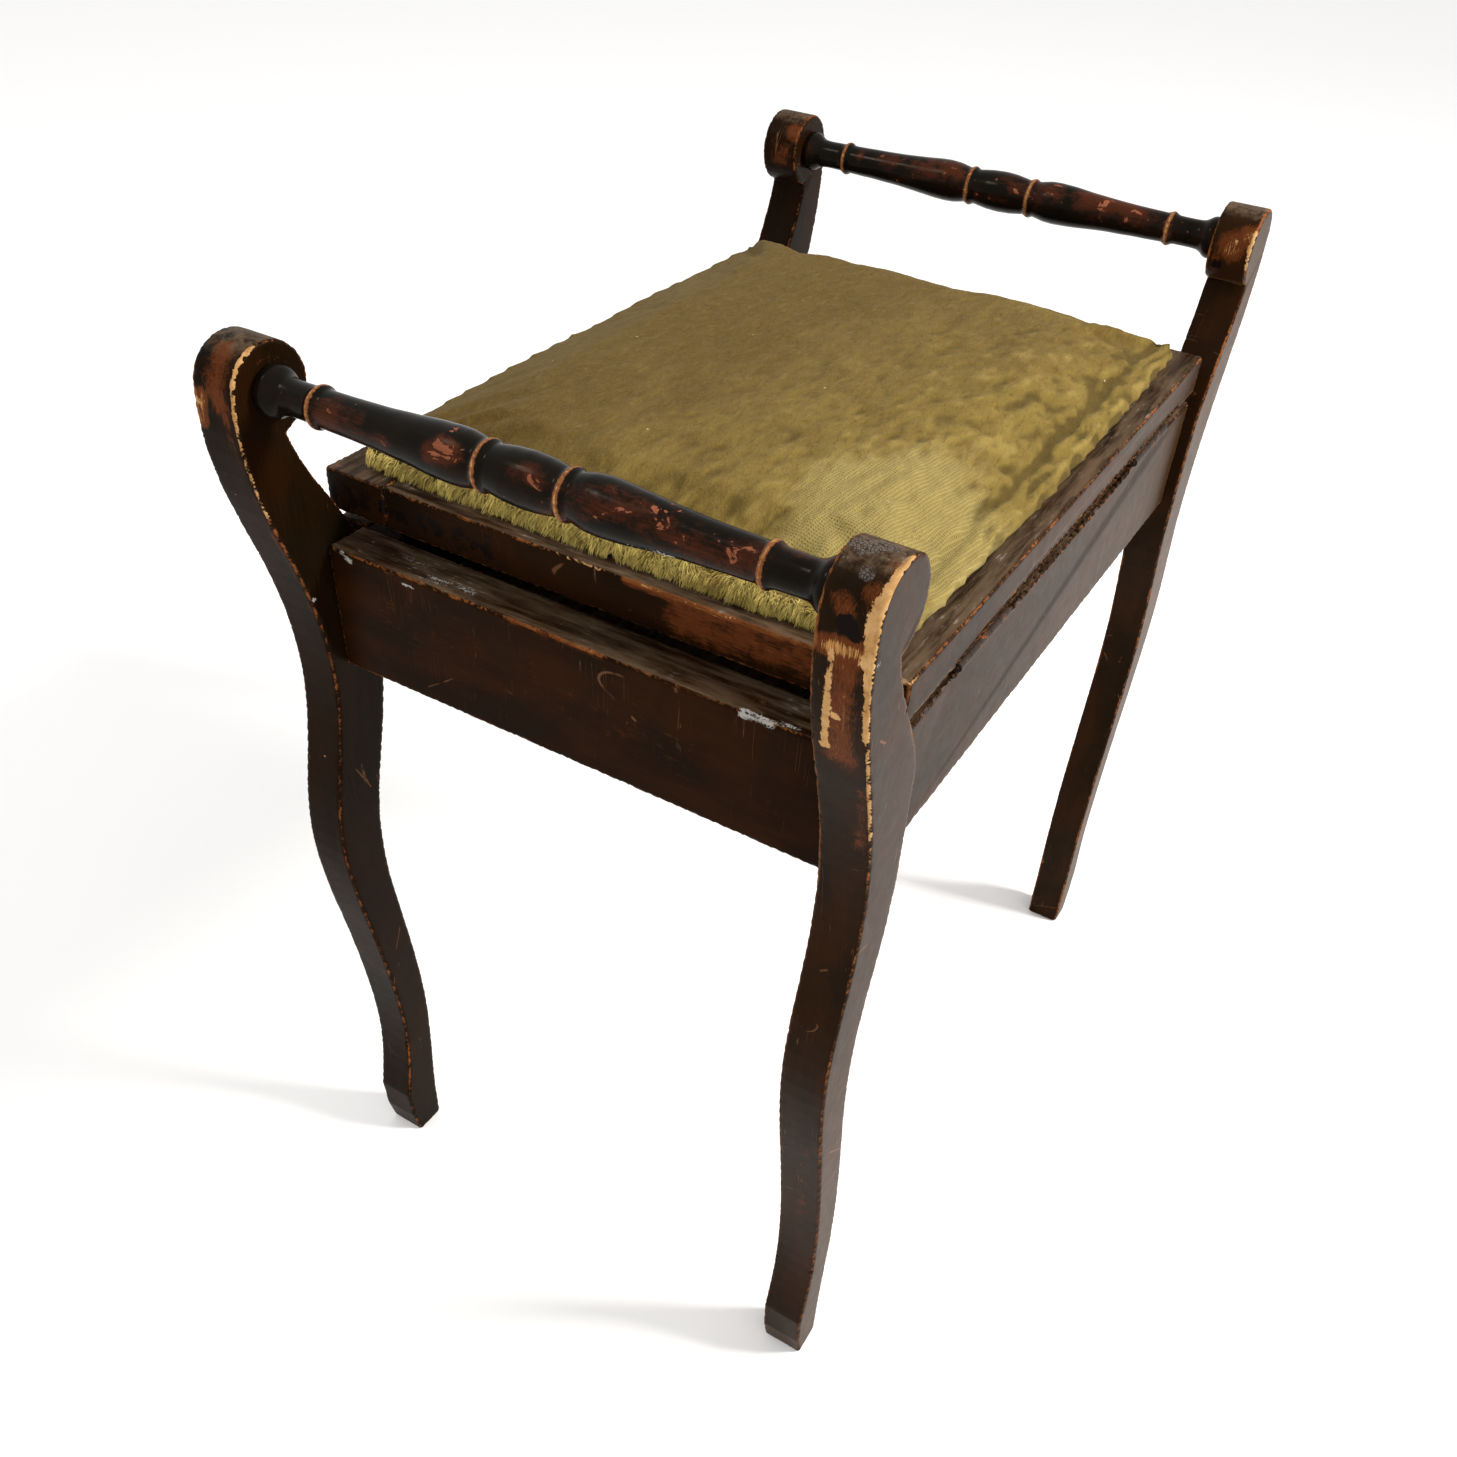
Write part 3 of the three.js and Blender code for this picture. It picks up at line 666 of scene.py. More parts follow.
def noise_at(points, scale, seed):
    """Smooth noise of about -1 to 1 at each point; scale is the feature length in metres."""
    shift = Vector((seed * 7.31, seed * 3.17, seed * 5.73))
    return np.array([noise.noise(Vector(p) / scale + shift) for p in points])


def arris_points(bm, least=0.6, spacing=0.0008):
    """Points along the sharp outer edges."""
    found = []
    for edge in bm.edges:
        if len(edge.link_faces) == 2 and edge.calc_face_angle_signed() > least:
            a, b = (v.co for v in edge.verts)
            steps = max(1, int((b - a).length / spacing))
            found += [a.lerp(b, i / steps) for i in range(steps + 1)]
    return found


def distance_to(points, targets, cap=0.03):
    """The distance from each point to the nearest target."""
    tree = kdtree.KDTree(len(targets))
    for i, target in enumerate(targets):
        tree.insert(target, i)
    tree.balance()
    return np.array([min(cap, tree.find(p)[2]) for p in points])


# ---------------------------------------------------------------- wood


def core_of(bm, radius):
    """A search tree of the solid drawn in by radius on every side."""
    bm.normal_update()
    moves = [v.normal * (v.calc_shell_factor() * radius) for v in bm.verts]
    for vert, move in zip(bm.verts, moves):
        vert.co -= move
    return BVHTree.FromBMesh(bm)


def rounded(points, core, radius):
    """Points moved to lie radius away from the core, which rounds every arris evenly."""
    out = np.empty_like(points)
    for i, point in enumerate(points):
        place = Vector(point)
        near, normal, _, far = core.find_nearest(place)
        away = place - near
        if away.dot(normal) < 0:
            away = -away
        away = away.normalized() if far > 1e-5 else normal
        out[i] = near + away * radius
    return out


ARRIS = 1.0 * MM  # radius worn on the edges of the wood
ARRIS_DEPTH = (math.sqrt(2) - 1) * ARRIS  # from a sharp corner to the rounded one
WEAR_REACH = 5 * MM  # how far from an arris the wood is worn down
WEAR_DEPTH = 0.22 * MM
RELAX_ROUNDS = 5
FINE_VOXEL, RAIL_VOXEL = 1.5 * MM, 1.8 * MM


def sawn_edge(normals, edge):
    """1 on the sawn edge of a leg and its arrises, 0 on the flat sides, which marks leave alone."""
    sawn = np.clip((0.96 - np.abs(normals[:, 1])) / 0.2, 0, 1)
    return np.maximum(sawn, np.clip(2 - edge / (0.7 * MM), 0, 1))


def worn_down(points, normals, edge, rub):
    """Points let in a little along the arrises, more where they are rubbed."""
    near = np.flatnonzero(edge < WEAR_REACH)
    rough = np.zeros(len(points))
    rough[near] = np.clip(0.35 + noise_at(points[near], 0.011, 1), 0, 1) ** 2
    depth = WEAR_DEPTH * rough * (1 - edge / WEAR_REACH) * (1 + 2 * rub)
    return points - normals * np.maximum(depth, 0)[:, None]


def worn_copy(node, material, voxel=FINE_VOXEL):
    """A finely meshed stand-in for a wooden CAD piece, with its arrises rubbed round."""
    bm = welded(node)
    arris = arris_points(bm)
    solid = bm.copy()
    piece = remeshed("worn_" + node, bm, voxel)
    bm.free()
    mesh = piece.data
    points = rounded(relaxed(mesh, RELAX_ROUNDS), core_of(solid, ARRIS), ARRIS)
    solid.free()
    put_points(mesh, points)
    normals = normals_of(mesh)
    edge = np.maximum(distance_to(points, arris) - ARRIS_DEPTH, 0)
    sawn = sawn_edge(normals, edge) if node.startswith("leg") else np.ones(len(points))
    rub = mark_strength(points, RUBS) * sawn
    points = worn_down(points, normals, edge, rub)
    put_points(mesh, points)
    seats = mark_strength(points, SCUFFED_SEATS) * np.clip(2 * np.abs(normals[:, 1]) - 1, 0, 1)
    keep_number(mesh, "edge", edge / MM)
    keep_number(mesh, "rub", np.maximum(rub, 0.5 * seats))
    keep_number(mesh, "raw", mark_strength(points, RAWS) * sawn)
    for name, marks in (("dark", DARKS), ("daub", DAUBS), ("craze", CRAZES)):
        keep_number(mesh, name, mark_strength(points, marks))
    keep_number(mesh, "up", normals_of(mesh)[:, 2])
    mesh.materials.append(material)
    stand_in(piece, node)


def stand_in(piece, node):
    """The piece rides with its CAD node's body and is shown in its place."""
    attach(piece, NODES[node]["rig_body"])
    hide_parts(node)


# Painted shade: the front legs' tones are a darker copy of the lacquer, standing in for the shade on their
# inner faces
FRONT_LEG_PAINTED_SHADE, FRONT_LEG_WARM_PAINTED_SHADE = (0.006, 0.003, 0.001), (0.012, 0.0042, 0.0012)
END_RAIL, END_RAIL_WARM = (0.0098, 0.0036, 0.0011), (0.021, 0.0063, 0.0015)
LID_END, LID_END_WARM = (0.0085, 0.0036, 0.0012), (0.019, 0.0065, 0.0018)


def make_wood():
    """Legs, rails and the frame of the lid."""
    # The front legs' darker lacquer is painted shade
    front_leg_painted_shade = lacquered("lacquer_front_legs_painted_shade", 2, FRONT_LEG_PAINTED_SHADE, FRONT_LEG_WARM_PAINTED_SHADE, sheen=0.02, ior=1.1)
    back_leg = lacquered("lacquer_back_legs", 2, wear=1.05)
    long_rail = lacquered("lacquer_long_rails", 0, gloss=0.4, wear=0.5)
    end_rail = lacquered("lacquer_end_rails", 1, END_RAIL, END_RAIL_WARM, sheen=0.05, wear=0.55, ior=1.08)
    lid_end = lacquered("lacquer_lid_ends", 1, LID_END, LID_END_WARM, sheen=0.05, wear=0.4, ior=1.08)
    for x in ("right", "left"):
        worn_copy(f"leg_front_{x}", front_leg_painted_shade)
        worn_copy(f"leg_back_{x}", back_leg)
        worn_copy(f"end_rail_{x}", end_rail)
        worn_copy(f"lid_rail_{x}", lid_end)
    for y in ("front", "back"):
        worn_copy(f"{y}_rail", long_rail, RAIL_VOXEL)
        worn_copy(f"lid_stile_{y}", long_rail)


def soften(node, width, material):
    """Keeps a CAD piece, with its edges eased by modifiers."""
    piece = NODES[node]
    weld = piece.modifiers.new("weld", "WELD")
    weld.merge_threshold = 1e-5
    flat = piece.modifiers.new("flat", "DECIMATE")
    flat.decimate_type = "DISSOLVE"
    flat.angle_limit = math.radians(1)
    ease = piece.modifiers.new("ease", "BEVEL")
    ease.width = width
    ease.segments = 2
    ease.limit_method = "ANGLE"
    ease.angle_limit = math.radians(50)
    ease.harden_normals = False
    piece.data.materials.clear()
    piece.data.materials.append(material)


# Dark and light of each inner wood
PANEL_WOOD = (0.11, 0.055, 0.026), (0.25, 0.145, 0.07)
BOARD_WOOD = (0.13, 0.07, 0.034), (0.29, 0.175, 0.09)
# The corner blocks' near-black is painted shade, for the dark slot under the lid where they show
BLOCK_WOOD_PAINTED_SHADE = (0.013, 0.0075, 0.0055), (0.03, 0.014, 0.009)
BATTEN_WOOD = (0.15, 0.08, 0.037), (0.33, 0.2, 0.1)
DOWEL_WOOD = (0.3, 0.19, 0.1), (0.5, 0.36, 0.2)
# How wide edges are eased
THIN_EASE, BLOCK_EASE, DOWEL_EASE = 0.5 * MM, 0.8 * MM, 0.4 * MM
LEAF_EASE, SCREW_EASE = 0.2 * MM, 0.15 * MM


def make_inside():
    """The panel, the floor of the box, its blocks and battens, and the hidden dowels."""
    panel = unfinished("panel_wood", 0, *PANEL_WOOD)
    board = unfinished("board_wood", 0, *BOARD_WOOD)
    # Painted shade: the corner blocks are near-black for the shade of the slot under the lid
    block = unfinished("block_wood_painted_shade", 2, *BLOCK_WOOD_PAINTED_SHADE, 0.5, 1.12)
    batten = unfinished("batten_wood", 0, *BATTEN_WOOD)
    peg = unfinished("dowel_wood", 0, *DOWEL_WOOD)
    soften("lid_panel", THIN_EASE, panel)
    soften("floor_board", THIN_EASE, board)
    for name in NODES:
        if name.startswith("corner_block"):
            soften(name, BLOCK_EASE, block)
        elif name.startswith("floor_batten"):
            soften(name, BLOCK_EASE, batten)
        elif name.startswith("dowel"):
            soften(name, DOWEL_EASE, peg)


# ---------------------------------------------------------------- handles

BEADS = (-113.5, -21, 21, 113.5)  # along Y, mm
HANDLE_SIDES = 72
HANDLE_STEP = 0.6 * MM
OUT_OF_TRUE = 0.16 * MM
HANDLE_RUBS = [
    ((259, -104, 570), (258, -86, 570), 7, 1.0), ((262, -44, 568), (260, -34, 571), 7, 1.4),
    spot(259, 6, 573, 8, 0.8), ((258, 32, 572), (260, 60, 570), 10, 1.0),
    ((259, 70, 566), (259, 108, 566), 8, 0.8),
    ((-243, -100, 568), (-243, -80, 568), 7, 1.0), ((-241, -60, 570), (-240, -30, 571), 8, 0.8),
    ((-240, 4, 572), (-240, 12, 570), 7, 0.8), ((-242, 40, 572), (-242, 90, 570), 8, 0.7),
]


def profile_of(node):
    """The radius of a turned CAD piece at each distance along Y, and its axis, in metres."""
    points = points_of(NODES[node].data)
    low, high = points.min(0), points.max(0)
    centre = (low + high) / 2
    radius = np.hypot(points[:, 0] - centre[0], points[:, 2] - centre[2])
    rings = {}
    for y, r in zip(np.round(points[:, 1], 5), radius):
        rings[y] = max(rings.get(y, 0.0), r)
    ys = sorted(rings)
    return centre, [(y, rings[y]) for y in ys if rings[y] > 1e-4]


def fine_profile(rings, spacing):
    """The profile at even small steps, with its corners slightly eased."""
    ys = np.array([y for y, _ in rings])
    rs = np.array([r for _, r in rings])
    fine = np.arange(ys[0], ys[-1] + spacing / 2, spacing)
    fine[-1] = ys[-1]
    radius = np.interp(fine, ys, rs)
    for _ in range(6):
        radius[1:-1] = 0.5 * radius[1:-1] + 0.25 * (radius[:-2] + radius[2:])
    return fine, radius


def turned_points(centre, ys, radii):
    """Rings of points round the axis, slightly worn out of true."""
    angles = np.linspace(0, 2 * math.pi, HANDLE_SIDES, endpoint=False)
    outward = np.stack([np.cos(angles), 0 * angles, np.sin(angles)], 1)
    outward = np.tile(outward, (len(ys), 1))
    middle = np.zeros_like(outward)
    middle[:, 0], middle[:, 2] = centre[0], centre[2]
    middle[:, 1] = np.repeat(ys, HANDLE_SIDES)
    points = middle + outward * np.repeat(radii, HANDLE_SIDES)[:, None]
    return points + outward * (OUT_OF_TRUE * (noise_at(points, 0.013, 4) - 0.5))[:, None]


def turned_faces(rings):
    """Quads between the rings, and a cap at each end."""
    sides = HANDLE_SIDES
    faces = []
    for i in range(rings - 1):
        for j in range(sides):
            k = (j + 1) % sides
            faces.append((i * sides + j, i * sides + k, (i + 1) * sides + k, (i + 1) * sides + j))
    last = (rings - 1) * sides
    faces.append(tuple(range(sides - 1, -1, -1)))
    faces.append(tuple(last + j for j in range(sides)))
    return faces


def make_handle(node, material):
    """A smooth turned handle with the CAD profile."""
    centre, rings = profile_of(node)
    ys, radii = fine_profile(rings, HANDLE_STEP)
    points = turned_points(centre, ys, radii)
    mesh = bpy.data.meshes.new("turned_" + node)
    mesh.from_pydata([tuple(p) for p in points], [], turned_faces(len(ys)))
    bm = bmesh.new()
    bm.from_mesh(mesh)
    bmesh.ops.recalc_face_normals(bm, faces=bm.faces)
    bm.to_mesh(mesh)
    bm.free()
    mesh.polygons.foreach_set("use_smooth", [len(p.vertices) == 4 for p in mesh.polygons])
    along = points[:, 1] / MM
    crest = np.max([np.clip(1.1 - np.abs(along - b + 0.4) / 2.6, 0, 1) for b in BEADS], axis=0)
    keep_number(mesh, "crest", crest)
    keep_number(mesh, "rub", mark_strength(points, HANDLE_RUBS))
    keep_number(mesh, "daub", mark_strength(points, DAUBS))
    mesh.materials.append(material)
    stand_in(linked(mesh.name, mesh), node)


# ---------------------------------------------------------------- hinges


def make_hinges():
    """The leaves, pins and screws keep their CAD shape and get eased edges."""
    iron, steel = painted_iron(), old_steel()
    for name in NODES:
        if name.startswith("hinge"):
            is_leaf = name.endswith("leaf")
            painted = is_leaf or name.endswith("pin")
            soften(name, LEAF_EASE if is_leaf else SCREW_EASE, iron if painted else steel)


# ---------------------------------------------------------------- pad

PAD_LOW, PAD_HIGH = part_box("seat_pad")
NAP_TURN = math.radians(11)  # the way the pile lies, from -X towards +Y
THREAD = 1.6  # pitch of the bared weave, mm

# Colours of the velvet, some as a dark and a light one
BROWN_NAP_PAINTED_SHADE = (0.0569, 0.0312, 0.0056), (0.1095, 0.0624, 0.0124)
OLIVE_NAP_PAINTED_LIGHT = (0.1241, 0.0813, 0.0153), (0.2263, 0.156, 0.0354)
NAP_STAIN, TUFT_SHADE = (0.0803, 0.0468, 0.0094), (0.0526, 0.0292, 0.0056)
TUFT_TIP_PAINTED_LIGHT, HAIR_TIP_PAINTED_LIGHT = (0.2336, 0.1625, 0.0442), (0.219, 0.1495, 0.0354)
HOLLOW_NAP_PAINTED_SHADE, RIDGE_NAP_PAINTED_LIGHT = (0.0511, 0.0312, 0.0056), (0.2847, 0.2015, 0.056)
BACKING = (0.26, 0.2, 0.06), (0.38, 0.3, 0.11)
LINT, TACK_RING, NAP_SHEEN = (0.4526, 0.3575, 0.2124), (0.365, 0.273, 0.118), (0.95, 0.8, 0.4)


def woven(p):
    """The backing's weave, from 0 to 1."""
    waves = []
    for direction in ("X", "Y"):
        wave = p.nodes.new("ShaderNodeTexWave")
        wave.bands_direction = direction
        wave.inputs["Scale"].default_value = 2 * math.pi / (20 * THREAD)
        wave.inputs["Distortion"].default_value = 0.25
        wave.inputs["Detail Scale"].default_value = 0.3
        p.plug(wave.inputs["Vector"], p.coords(turn=(0, 0, 8)))
        waves.append(wave.outputs["Fac"])
    return p.step(p.most(*waves), 0.35, 0.95)


def velvet():
    """Worn olive pile: mottled, brushed in streaks, thin to the weave in one corner."""
    p = Paint("olive_velvet")
    turn = (0, 0, math.degrees(NAP_TURN))
    streak = p.noise(p.coords((1 / 26, 1 / 8, 1 / 9), turn), 1.0, 4, 0.6, 0.8)
    tuft = p.noise(p.coords((1 / 6.5, 1 / 2.6, 1 / 3), turn), 1.0, 4, 0.65, 0.6)
    hair = p.noise(p.coords((1 / 2.4, 1 / 0.6, 1 / 0.6), turn), 1.0, 3, 0.6)
    broad = p.noise(p.coords(), 1 / 75, 3, 0.5, 0.6)
    stain = p.noise(p.coords((1 / 30, 1 / 16, 1 / 20), turn), 1.0, 3, 0.55, 1.0)
    # Painted light: the nap is lighter olive towards the hinge side, where the window's light falls, and
    # darker brown to the left; the brown to olive shift is also the nap's own colour
    side = p.add(p.attribute("right"), p.around(broad, 0.8), p.around(stain, 0.45), p.around(streak, 0.3))
    colour = p.mix(p.step(side, 0.12, 0.95), p.mix(streak, *BROWN_NAP_PAINTED_SHADE), p.mix(streak, *OLIVE_NAP_PAINTED_LIGHT))
    colour = p.mix(p.step(stain, 0.52, 0.72, 0.0, 0.45), colour, NAP_STAIN)
    # Painted shade between the tufts and painted light on the tops of tufts and fibres, following the
    # nap's bump
    colour = p.mix(p.step(tuft, 0.5, 0.28, 0.0, 0.5), colour, TUFT_SHADE)
    colour = p.mix(p.step(tuft, 0.54, 0.8, 0.0, 0.4), colour, TUFT_TIP_PAINTED_LIGHT)
    colour = p.mix(p.step(hair, 0.5, 0.78, 0.0, 0.3), colour, HAIR_TIP_PAINTED_LIGHT)
    # Painted shade darkens the hollows of the relief and painted light lightens its ridges
    colour = p.mix(p.step(p.attribute("painted_hollow_shade"), 0.05, 0.7, 0.0, 0.75), colour, HOLLOW_NAP_PAINTED_SHADE)
    colour = p.mix(p.step(p.attribute("painted_ridge_light"), 0.15, 0.85, 0.0, 0.5), colour, RIDGE_NAP_PAINTED_LIGHT)
    # The weave shows where the pile has gone
    bald = p.add(p.attribute("bald"), p.around(streak, 0.5), p.around(broad, 0.8), p.around(stain, 0.4))
    thin, weave = p.step(bald, 0.3, 0.75), woven(p)
    colour = p.mix(p.times(thin, 0.62), colour, p.mix(weave, *BACKING))
    colour = p.mix(p.step(p.cells(p.coords(), 1 / 30), 0.03, 0.012), colour, LINT)
    p.set("Base Color", p.mix(p.times(p.attribute("ring"), 0.55), colour, TACK_RING))
    p.set("Roughness", 0.9)
    p.set("Specular IOR Level", 0.1)
    p.set("Sheen Weight", 0.1)
    p.set("Sheen Roughness", 0.45)
    p.set("Sheen Tint", NAP_SHEEN)
    nap = p.add(p.times(tuft, 0.8), p.times(hair, 0.5), p.times(streak, 0.9))
    p.set("Normal", p.bump(p.times(weave, thin), 0.3, Normal=p.bump(nap, 1.2)))
    return p.material


PILE = (0.24, 0.17, 0.032), (0.66, 0.51, 0.14)
PILE_ROOT_PAINTED_SHADE, PILE_STAIN = (0.11, 0.08, 0.016), (0.24, 0.14, 0.03)


def pile_paint():
    """The long loose locks at the near edge, with painted shade darkening their roots."""
    p = Paint("loose_pile")
    colour = p.mix(p.attribute("tone"), *PILE)
    # Painted shade: darker towards each fibre's root, where the lock shades itself
    colour = p.mix(p.times(p.attribute("root"), 0.5), colour, PILE_ROOT_PAINTED_SHADE)
    speckle = p.noise(p.coords(), 1 / 14, 2)
    p.set("Base Color", p.mix(p.step(speckle, 0.52, 0.68, 0.0, 0.6), colour, PILE_STAIN))
    p.set("Roughness", 0.82)
    p.set("Specular IOR Level", 0.15)
    p.set("Sheen Weight", 0.15)
    return p.material


CLOTH_PRESSURE = 4.0
CLOTH_TRAVEL = 6 * MM  # the furthest a point of the pad may move
CLOTH_FRAMES = 20
HELD_RIM = 2.5 * MM  # height of the rim tacked to the lid
CLOTH_STIFFNESS, CLOTH_SHEAR, CLOTH_BENDING = 12, 5, 0.4


def swollen(piece):
    """Inflates the pad as cloth, held at its base, and keeps the result."""
    mesh = piece.data
    rest = points_of(mesh)
    held = piece.vertex_groups.new(name="held")
    held.add([int(i) for i in np.flatnonzero(rest[:, 2] < PAD_LOW.z + HELD_RIM)], 1.0, "REPLACE")
    cloth = piece.modifiers.new("cloth", "CLOTH")
    settings = cloth.settings
    settings.quality = 5
    settings.mass = 0.3
    settings.tension_stiffness = CLOTH_STIFFNESS
    settings.compression_stiffness = CLOTH_STIFFNESS
    settings.shear_stiffness = CLOTH_SHEAR
    settings.bending_stiffness = CLOTH_BENDING
    settings.use_pressure = True
    settings.uniform_pressure_force = CLOTH_PRESSURE
    settings.vertex_group_mass = "held"
    settings.effector_weights.gravity = 0
    cloth.point_cache.frame_start = 1
    cloth.point_cache.frame_end = CLOTH_FRAMES
    scene = bpy.context.scene
    for step in range(1, CLOTH_FRAMES + 1):
        scene.frame_set(step)
    graph = bpy.context.evaluated_depsgraph_get()
    moved = points_of(piece.evaluated_get(graph).data)
    piece.modifiers.clear()
    piece.vertex_groups.clear()
    scene.frame_set(1)
    travel = moved - rest
    length = np.maximum(np.linalg.norm(travel, axis=1), 1e-9)
    travel *= np.minimum(1, CLOTH_TRAVEL / length)[:, None]
    put_points(mesh, rest + travel)


HEM_WIDTH, FOLD_PITCH = 17, 6.2  # mm
CREASE_PLACE, CREASE_WIDTH = 18, 2.6  # mm in from the hinge-side edge
CALM_BORDER = 45  # mm over which the wrinkles die out towards the far and left edges
WRINKLE, LUMP, SWELL, FOLD, CREASE = 1.75, 0.9, 1.2, 1.5, 2.2  # mm


def along_edge(x, length, seed):
    """Noise that changes only along X."""
    return noise_at(np.stack([x / length, 0 * x, 0 * x], 1), 1.0, seed)


def pad_relief(points, up):
    """How far each point of the pad stands out, in millimetres, and how much painted shade and painted
    light its hollows and ridges get.
    """
    x, y, z = (points / MM).T
    c, s = math.cos(NAP_TURN), math.sin(NAP_TURN)
    along, across = -c * x + s * y, s * x + c * y
    # Wrinkles of the nap, deeper towards the hinge side
    streak = noise_at(np.stack([along / 21, across / 6.5, z / 30], 1), 1.0, 11)
    lumps = noise_at(np.stack([along / 9, across / 5, z / 12], 1), 1.0, 12)
    broad = noise_at(points, 0.07, 13)
    deep = np.clip(0.45 + (y + 0.25 * x) / 210, 0.3, 1)
    border = np.minimum(y - PAD_LOW.y / MM, x - PAD_LOW.x / MM)
    calm = np.clip(border / CALM_BORDER, 0.12, 1)
    wrinkle = deep * calm * (WRINKLE * streak + LUMP * lumps)
    # The flattened hem along the hinge side: a crease, then folds that run along the edge
    inside = PAD_HIGH.y / MM - y + 3.5 * along_edge(x, 24, 14)
    hem = np.clip(1.25 - inside / HEM_WIDTH, 0, 1)
    folds = np.sin(2 * math.pi * inside / FOLD_PITCH) * hem
    folds *= np.clip(0.7 + noise_at(points, 0.02, 15), 0.2, 1.2)
    crease = -np.exp(-((inside - CREASE_PLACE) / CREASE_WIDTH) ** 2)
    relief = (1 - 0.6 * hem) * wrinkle + SWELL * calm * broad + FOLD * folds + CREASE * crease
    # Painted shade in the hollows and painted light on the ridges of the wrinkles, folds and crease
    shade = wrinkle * 0.6 + 0.8 * folds + 0.9 * crease
    return relief * np.clip(up, 0, 1), np.clip(-shade, 0, 1), np.clip(shade, 0, 1)


RINGS = [(184, 147, 4.2), (176, 149, 3.6), (187, 139, 3.8)]  # x, y and radius of each tack head, mm
RING_WIDTH, RING_RISE = 1.1, 0.7  # mm


def tack_rings(points):
    """Rims of the tack heads that press through the worn corner, from 0 to 1."""
    found = np.zeros(len(points))
    for x, y, radius in RINGS:
        far = np.hypot(points[:, 0] / MM - x, points[:, 1] / MM - y)
        found = np.maximum(found, np.clip(1 - np.abs(far - radius) / RING_WIDTH, 0, 1))
    return found * (points[:, 2] > PAD_LOW.z + 0.006)


PAD_VOXEL = 4.2 * MM
PAD_SHRINK = (0.985, 0.982, 0.9)  # the form before it swells
EDGE_BAND = 12 * MM  # depth of the hinge-side edge that wanders


def pad_form():
    """The pad's even mesh, inflated and subdivided."""
    bm = welded("seat_pad")
    centre = (PAD_LOW + PAD_HIGH) / 2
    about_base = Matrix.Translation((-centre.x, -centre.y, -PAD_LOW.z))
    bmesh.ops.scale(bm, vec=PAD_SHRINK, space=about_base, verts=bm.verts)
    piece = remeshed("velvet_pad", bm, PAD_VOXEL)
    bm.free()
    swollen(piece)
    modifier = piece.modifiers.new("fine", "SUBSURF")
    modifier.levels = 1
    modifier.render_levels = 1
    applied(piece)
    return piece


def make_pad(material):
    """The stuffed seat: an inflated closed form with nap ripples and a flattened hem."""
    piece = pad_form()
    mesh = piece.data
    points = points_of(mesh)
    up = np.clip((points[:, 2] - PAD_LOW.z - 0.002) / 0.006, 0, 1)
    relief, painted_hollow_shade, painted_ridge_light = pad_relief(points, up)
    rings = tack_rings(points)
    points = points + normals_of(mesh) * ((relief + RING_RISE * rings) * MM)[:, None]
    # The hinge-side edge wanders in and out
    side = np.clip((points[:, 1] - PAD_HIGH.y + EDGE_BAND) / EDGE_BAND, 0, 1)
    points[:, 1] += side * (1.6 * along_edge(points[:, 0], 0.022, 16) + 0.6) * MM
    points[:, 2] = np.maximum(points[:, 2], PAD_LOW.z)
    put_points(mesh, points)
    x, y = points[:, 0] / MM, points[:, 1] / MM
    # Painted light: 'right' grows towards the hinge side, where the window's light falls, and lightens the
    # nap there
    keep_number(mesh, "right", np.clip((y + 0.3 * x + 100) / 260, 0, 1))
    keep_number(mesh, "bald", np.clip(1.1 - np.hypot((x - 130) / 120, (y - 115) / 75), 0, 1))
    # Painted shade of the hollows and painted light of the ridges
    keep_number(mesh, "painted_hollow_shade", painted_hollow_shade)
    keep_number(mesh, "painted_ridge_light", painted_ridge_light)
    keep_number(mesh, "ring", rings)
    mesh.materials.clear()
    mesh.materials.append(material)
    mesh.polygons.foreach_set("use_smooth", [True] * len(mesh.polygons))
    stand_in(piece, "seat_pad")
    return piece


LOCKS, FIBRES = 900, 15  # locks of pile and fibres in each
LOCK_LENGTH = 5.6 * MM
LOCK_SPREAD = 1.4 * MM
PILE_SEED = 20
PILE_EDGE = 0.1945  # the pile grows beyond this distance along X, m
HANG = Vector((0.3, 0.15, -0.4))


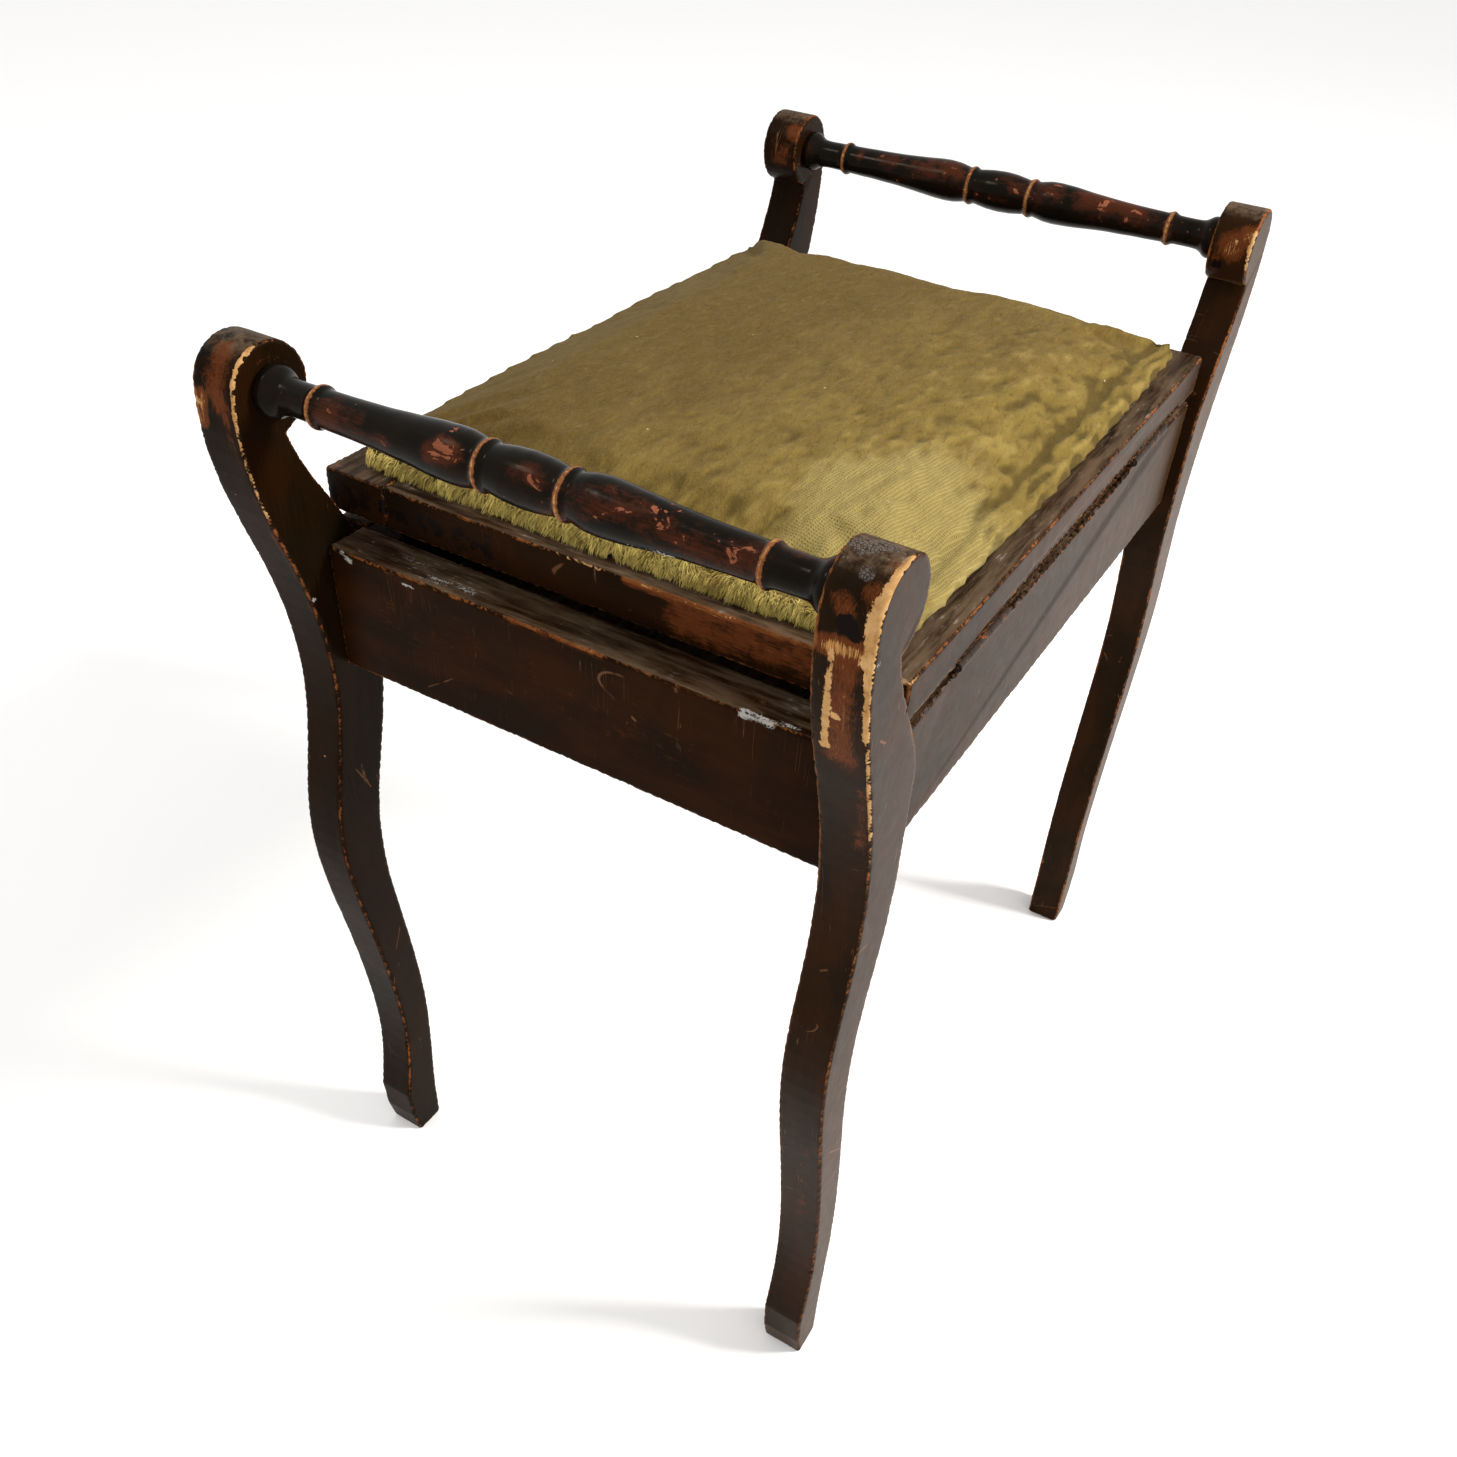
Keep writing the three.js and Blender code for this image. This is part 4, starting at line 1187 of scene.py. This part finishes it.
def blades(name, fibres, material):
    """Short curved fibres in one mesh, three triangles each; a fibre is (base, reach, width, tone)."""
    points, faces, tone, root = [], [], [], []
    for base, reach, width, shade in fibres:
        length = reach.length
        side = reach.normalized().cross(Vector((0.13, 0.21, 1))).normalized() * width / 2
        middle = base + reach * 0.55
        tip = base + reach + Vector((0, 0, -0.35 * length))
        start = len(points)
        points += [base - side, base + side, middle - side * 0.85, middle + side * 0.85, tip]
        faces += [(start, start + 1, start + 3, start + 2), (start + 2, start + 3, start + 4)]
        tone += [shade] * 5
        # How near each point is to its fibre's root, for the painted shade there
        root += [1, 1, 0.2, 0.2, 0]
    mesh = bpy.data.meshes.new(name)
    mesh.from_pydata(points, [], faces)
    keep_number(mesh, "tone", tone)
    keep_number(mesh, "root", root)
    mesh.materials.append(material)
    piece = linked(name, mesh)
    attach(piece, "lid")


def lock_of_pile(rng, centre, normal):
    """The fibres of one lock, which lean together and hang over the edge."""
    clump = noise.noise(centre / 0.012)
    wild = Vector([rng.gauss(0, 0.36) for _ in range(3)]) + Vector((0.0, 0.8 * clump, 0.2 * clump))
    lean = (normal + wild + HANG).normalized()
    tip = centre + lean * (LOCK_LENGTH * rng.uniform(0.6, 1.25))
    shade = rng.gauss(0.5, 0.16) + 0.5 * clump
    fibres = []
    for _ in range(FIBRES):
        apart = Vector([rng.gauss(0, LOCK_SPREAD) for _ in range(3)])
        apart -= normal * apart.dot(normal)
        base = centre + apart
        reach = (tip + apart * 0.75 - base) * rng.uniform(0.75, 1.1)
        width = rng.uniform(0.0003, 0.0006)
        fibres.append((base, reach, width, min(1, max(0, shade + rng.gauss(0, 0.12)))))
    return fibres


def make_pile(pad, material):
    """Loose locks of pile along the near edge of the pad."""
    rng = random.Random(PILE_SEED)
    points, normals = points_of(pad.data), normals_of(pad.data)
    near = np.flatnonzero((points[:, 0] > PILE_EDGE) & (points[:, 2] > PAD_LOW.z + 2 * MM))
    fibres = []
    for _ in range(LOCKS):
        i = int(near[rng.randrange(len(near))])
        fibres += lock_of_pile(rng, Vector(points[i]), Vector(normals[i]))
    blades("pad_tufts", fibres, material)


# ---------------------------------------------------------------- the whole bench

bpy.context.scene.view_settings.view_transform = "Standard"
make_camera()
make_light()
make_floor()
make_wood()
make_inside()
gloss = ebonised()
for side in ("right", "left"):
    make_handle(f"handle_{side}", gloss)
make_hinges()
make_pile(make_pad(velvet()), pile_paint())
